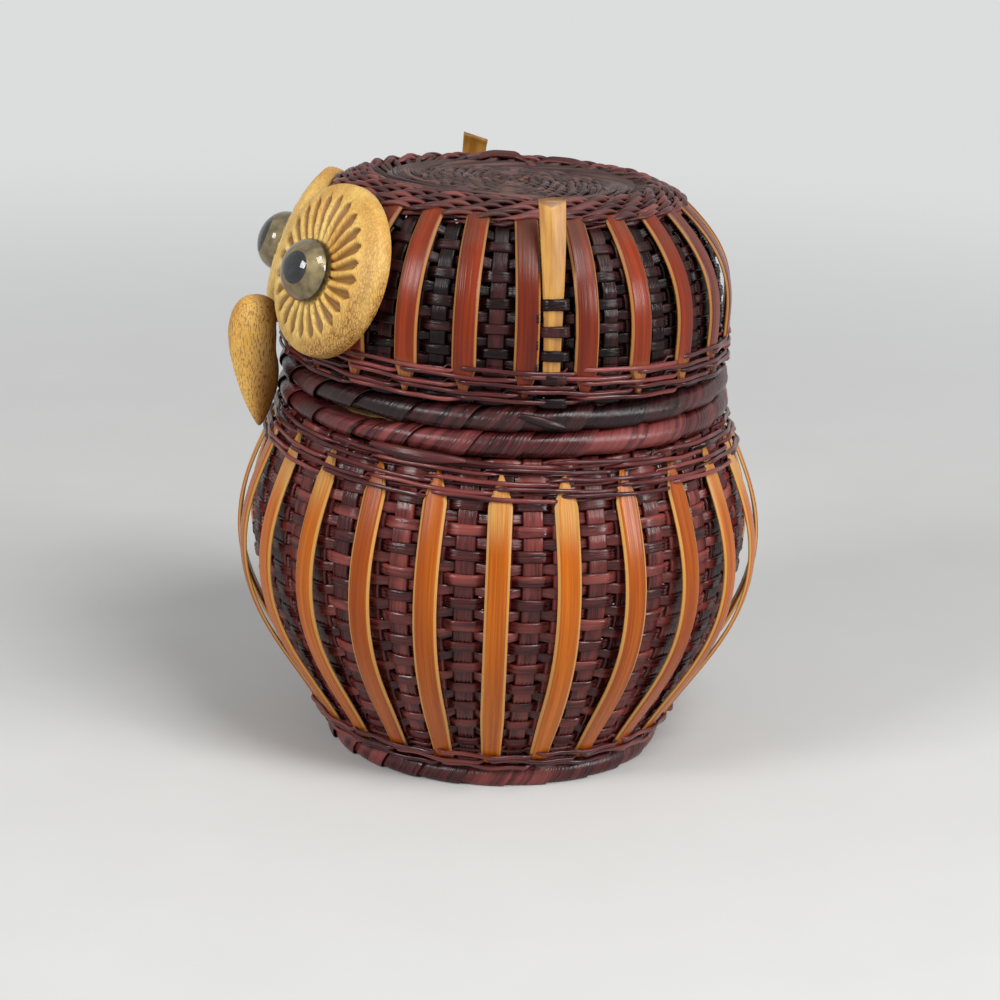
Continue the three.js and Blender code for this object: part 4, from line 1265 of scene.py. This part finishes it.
def glass_eye(side, hand):
    seat = eye_matrix(side) @ Matrix.Translation((0, -GLASS_DROP, 0))
    front = CORE_BACK + CORE_DEPTH
    dome, core = spun(list(glass_profile()), 72), spun(list(core_profile(front)), 64)
    for face in dome.faces:
        face.material_index = 1 if face.calc_center_median().z < GLASS_BACK + 0.2 else 0
    for face in core.faces:
        face.material_index = 0 if face.calc_center_median().z > front - 0.45 else 1
    for mesh in (dome, core):
        bmesh.ops.transform(mesh, matrix=seat, verts=mesh.verts)
    finish_piece(dome, f"glass_dome_{hand}", "lid", [glass, eye_paint], [f"eye_glass_{hand}"])
    finish_piece(core, f"pupil_{hand}", "lid", [pupil, eye_paint], [f"eye_pupil_{hand}"])


for side, hand in ((1, "left"), (-1, "right")):
    carved_disc(side, hand)
    glass_eye(side, hand)

# %% [markdown]
# The beak is a whittled teardrop. A round strip is swelled along its length, leans its point in towards
# the basket, and is hollowed behind where it lies on the binding. Its back half, towards the basket, is
# coloured darker as painted shade.

# %% Beak
BEAK_TOP, BEAK_LENGTH, BEAK_DEPTH, BEAK_WIDTH = 120.5, 34.7, 14.8, 12.8
BEAK_FRONT, BEAK_LEAN, BEAK_FULLEST = 72.5, 1.2, 0.6
# The stain amount and its front and back limits set the painted shade on the beak's back half.
BEAK_BAND, BEAK_PAINTED_SHADE, SHADE_FRONT, SHADE_BACK = 0.2, 0.85, -68.5, -63.0
RIM_REACH, RIM_START, RIM_FULL, BEAK_LIES_BELOW = 59.8, 107.0, 102.0, 119.9
beak_reach = BEAK_FRONT - BEAK_DEPTH / 2 + BEAK_LEAN * 0.5 ** (1 / BEAK_FULLEST)


def beak_bend(co):
    share = lerp(0.001, 0.999, (1 - cos(pi * co.z)) / 2)
    swell = max(sin(pi * share ** BEAK_FULLEST), 0.0) ** 0.7
    out = beak_reach - BEAK_LEAN * share + co.y * BEAK_DEPTH / 2 * swell
    height = BEAK_TOP - BEAK_LENGTH * share
    across = co.x * BEAK_WIDTH / 2 * swell
    knife = 0.14 * wander(co.x * 3.0, co.y * 3.0, share * 9.0)
    point = place(FACE, out + knife * co.y, height) + Vector((across, 0, 0))
    clear = 0.0
    if point.z < BEAK_LIES_BELOW:
        clear = lerp(lid_reach(point.z), RIM_REACH, smooth(RIM_START, RIM_FULL, point.z))
    while co.y < -0.2 and hypot(point.x, point.y) < clear:
        point.y -= CLEAR_STEP
    return point


beak = bmesh.new()
lay(beak, strip(oval(2.0, 2.0, corners=28), 48, BEAK_LENGTH), beak_bend, 0.5)
# The carve value darkens the beak's back half, which faces the basket, as painted shade.
band = beak.verts.layers.float.new("band")
carve_and_shade = beak.verts.layers.float.new("carve_and_shade")
for vert in beak.verts:
    vert[band] = BEAK_BAND
    vert[carve_and_shade] = BEAK_PAINTED_SHADE * smooth(SHADE_FRONT, SHADE_BACK, vert.co.y)
finish_piece(beak, "whittled_beak", "lid", [beak_wood], ["beak"])

# %% [markdown]
# An ear is a piece of split bamboo with a ridge down its front. It widens upwards and its end is cut on a
# slant, which shows the darker end grain.

# %% Ears
EAR_FOOT, EAR_TOP_REACH = 110.0, 50.5
EAR_NARROW, EAR_WIDE, EAR_THIN, EAR_THICK = 4.3, 6.5, 1.0, 2.1


def curved(first, second, third, share):
    """A point on the curve that leaves the first for the second and arrives at the third."""
    early, middle, late = (1.0 - share) ** 2, 2 * (1.0 - share) * share, share ** 2
    return [early * a + middle * b + late * c for a, b, c in zip(first, second, third)]


def ear(centre, hand, seed, top, cut):
    """Top is its height, and cut how much lower one side of its slanted end is."""
    mesh = bmesh.new()
    foot = on(lid_side, EAR_FOOT, 0.8)
    bulge = (foot[0] + 1.0, (EAR_FOOT + top) / 2)
    section = [(-0.5, -0.5), (0.5, -0.5), (0.5, 0.0), (0.42, 0.22),
               (-0.08, 0.5), (-0.42, 0.16), (-0.5, 0.0)]
    master = strip(section, 32, EAR_LENGTH, sharp=(0, 1, 2, 4, 6))

    def bend(co):
        share = co.z
        out, height = curved(foot, bulge, (EAR_TOP_REACH, top), share)
        width = lerp(EAR_NARROW, EAR_WIDE, smooth(0.15, 1.0, share))
        width *= 1 + 0.03 * wander(share * 6, co.x, seed)
        thick = lerp(EAR_THIN, EAR_THICK, share)
        lowered = smooth(0.9, 1.0, share) * (cut * (0.5 - co.x) + 3.0 * max(co.y, 0.0))
        sideways = place(centre + pi / 2, co.x * width, 0)
        return place(centre, out + co.y * thick, height - lowered) + sideways

    lay(mesh, master, bend, chance(seed, 3.0))
    finish_piece(mesh, f"bamboo_ear_{hand}", "lid", [ear_bamboo], [f"ear_{hand}"])


ear(EAR_ANGLES[0], "left", seed=1.0, top=155.2, cut=0.5)
ear(EAR_ANGLES[1], "right", seed=2.0, top=153.7, cut=2.2)

# %% [markdown]
# The wires and the beak's peg are simple shapes inside the lid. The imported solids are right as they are,
# and only get a finish.

# %% Hidden fixings
for name, material in (("eye_wire_left", steel), ("eye_wire_right", steel), ("beak_peg", hoop_bamboo)):
    node = frame["nodes"][name]
    node.data.materials.clear()
    node.data.materials.append(material)
    print(name, "is finished in", material.name)

# %% [markdown]
# The basket stands on a pale floor that fades into a plain background. What the camera sees there is set
# apart from what lights the basket, so the fade is only for the camera's own rays.

# %% Floor
FLOOR_SIZE, BACKGROUND = 6.0, "dcdddd"
HAZE_START, HAZE_FULL = 0.15, 0.9


def looked_at(tree):
    """1 for a ray from the camera, a mirror or glass, and 0 for the light that fills the room."""
    ray = add(tree, "LightPath").outputs
    return largest(ray["Is Camera Ray"], ray["Is Glossy Ray"], ray["Is Transmission Ray"])


stage = bmesh.new()
bmesh.ops.create_grid(stage, x_segments=2, y_segments=2, size=FLOOR_SIZE)
floor_data = bpy.data.meshes.new("studio_floor")
stage.to_mesh(floor_data)
stage.free()
floor = put_in_scene("studio_floor", floor_data)
floor_finish, tree, skin = new_material("pale floor")
at = on_object(tree)
fill(skin, {"Base Color": blend(cloudy(at, 30.0, 4.0), "cececc", "d4d4d2"), "Roughness": 0.9})
far_off = add(tree, "VectorMath", {0: at}, operation="LENGTH").outputs["Value"]
hazy = times(ramp(far_off, HAZE_START, HAZE_FULL), looked_at(tree))
haze = add(tree, "Emission", {"Color": BACKGROUND, "Strength": 1.0})
dimmed = add(tree, "MixShader", {0: hazy, 1: skin.outputs[0], 2: haze.outputs[0]})
fill(tree.nodes["Material Output"], {"Surface": dimmed.outputs[0]})
floor_data.materials.append(floor_finish)

# %% [markdown]
# The world gives a weak, even light from all sides, and shows the camera the same plain background.

# %% Even light
SKY, SKY_STRENGTH = (0.95, 0.98, 1.0, 1.0), 0.28
world = bpy.data.worlds.new("studio")
world.use_nodes = True
bpy.context.scene.world = world
sky = world.node_tree
lighting = fill(sky.nodes["Background"], {"Color": SKY, "Strength": SKY_STRENGTH})
shown = add(sky, "Background", {"Color": BACKGROUND, "Strength": 1.0})
mixed = add(sky, "MixShader", {0: looked_at(sky), 1: lighting.outputs[0], 2: shown.outputs[0]})
fill(sky.nodes["World Output"], {"Surface": mixed.outputs[0]})

# %% [markdown]
# Three soft lamps stand where windows would be. One high up on the camera's side lights the crown and the
# belly. The two at the sides bring out the rounded strands and put a gleam on the glass.

# %% Windows
AIM = Vector((0, 0, 0.08))


def soft_lamp(name, where, size, power):
    data = bpy.data.lights.new(name, "AREA")
    data.size, data.energy = size, power
    lamp = put_in_scene(name, data)
    lamp.location = where
    lamp.rotation_euler = (AIM - Vector(where)).to_track_quat("-Z", "Y").to_euler()


soft_lamp("window", (0.7, 0.3, 1.05), size=0.5, power=9.5)
soft_lamp("left window", (0.55, -1.0, 0.75), size=0.4, power=8.5)
soft_lamp("right window", (0.84, 0.93, 0.52), size=0.4, power=8.0)
print("lamps:", [lamp.name for lamp in bpy.data.lights])

# %% [markdown]
# The camera stands where the photographer stood. Its distance, height, pitch and small roll were worked
# out from the rims and slats in the photograph.

# %% Camera
VIEW, DISTANCE, EYE_LEVEL, SIDE_STEP = radians(77.2), 0.7119, 0.2834, 0.0003
PITCH, ROLL = radians(17.15), radians(2.17)
LENS, SENSOR, NEAREST = 100.8, 36.0, 0.01
rightward = Vector((cos(VIEW), sin(VIEW), 0))
towards = Vector((-sin(VIEW) * cos(PITCH), cos(VIEW) * cos(PITCH), -sin(PITCH)))
upward = rightward.cross(towards)
rolled_right = rightward * cos(ROLL) + upward * sin(ROLL)
rolled_up = upward * cos(ROLL) - rightward * sin(ROLL)
camera_data = bpy.data.cameras.new("photo view")
camera_data.lens, camera_data.sensor_width, camera_data.clip_start = LENS, SENSOR, NEAREST
camera = put_in_scene("photo view", camera_data)
stand = axis + rightward * SIDE_STEP + Vector((sin(VIEW), -cos(VIEW), 0)) * DISTANCE
turn = Matrix((rolled_right, rolled_up, -towards)).transposed().to_4x4()
camera.matrix_world = Matrix.Translation(stand + Vector((0, 0, EYE_LEVEL))) @ turn
bpy.context.scene.camera = camera
bpy.context.scene.view_settings.view_transform = "Standard"
print("the camera stands, in metres, at:", [round(value, 3) for value in camera.matrix_world.translation])

# %% [markdown]
# Last, the masters are cleared away.

# %% Finish
for master in [mesh for mesh in bpy.data.meshes if mesh.users == 0]:
    bpy.data.meshes.remove(master)
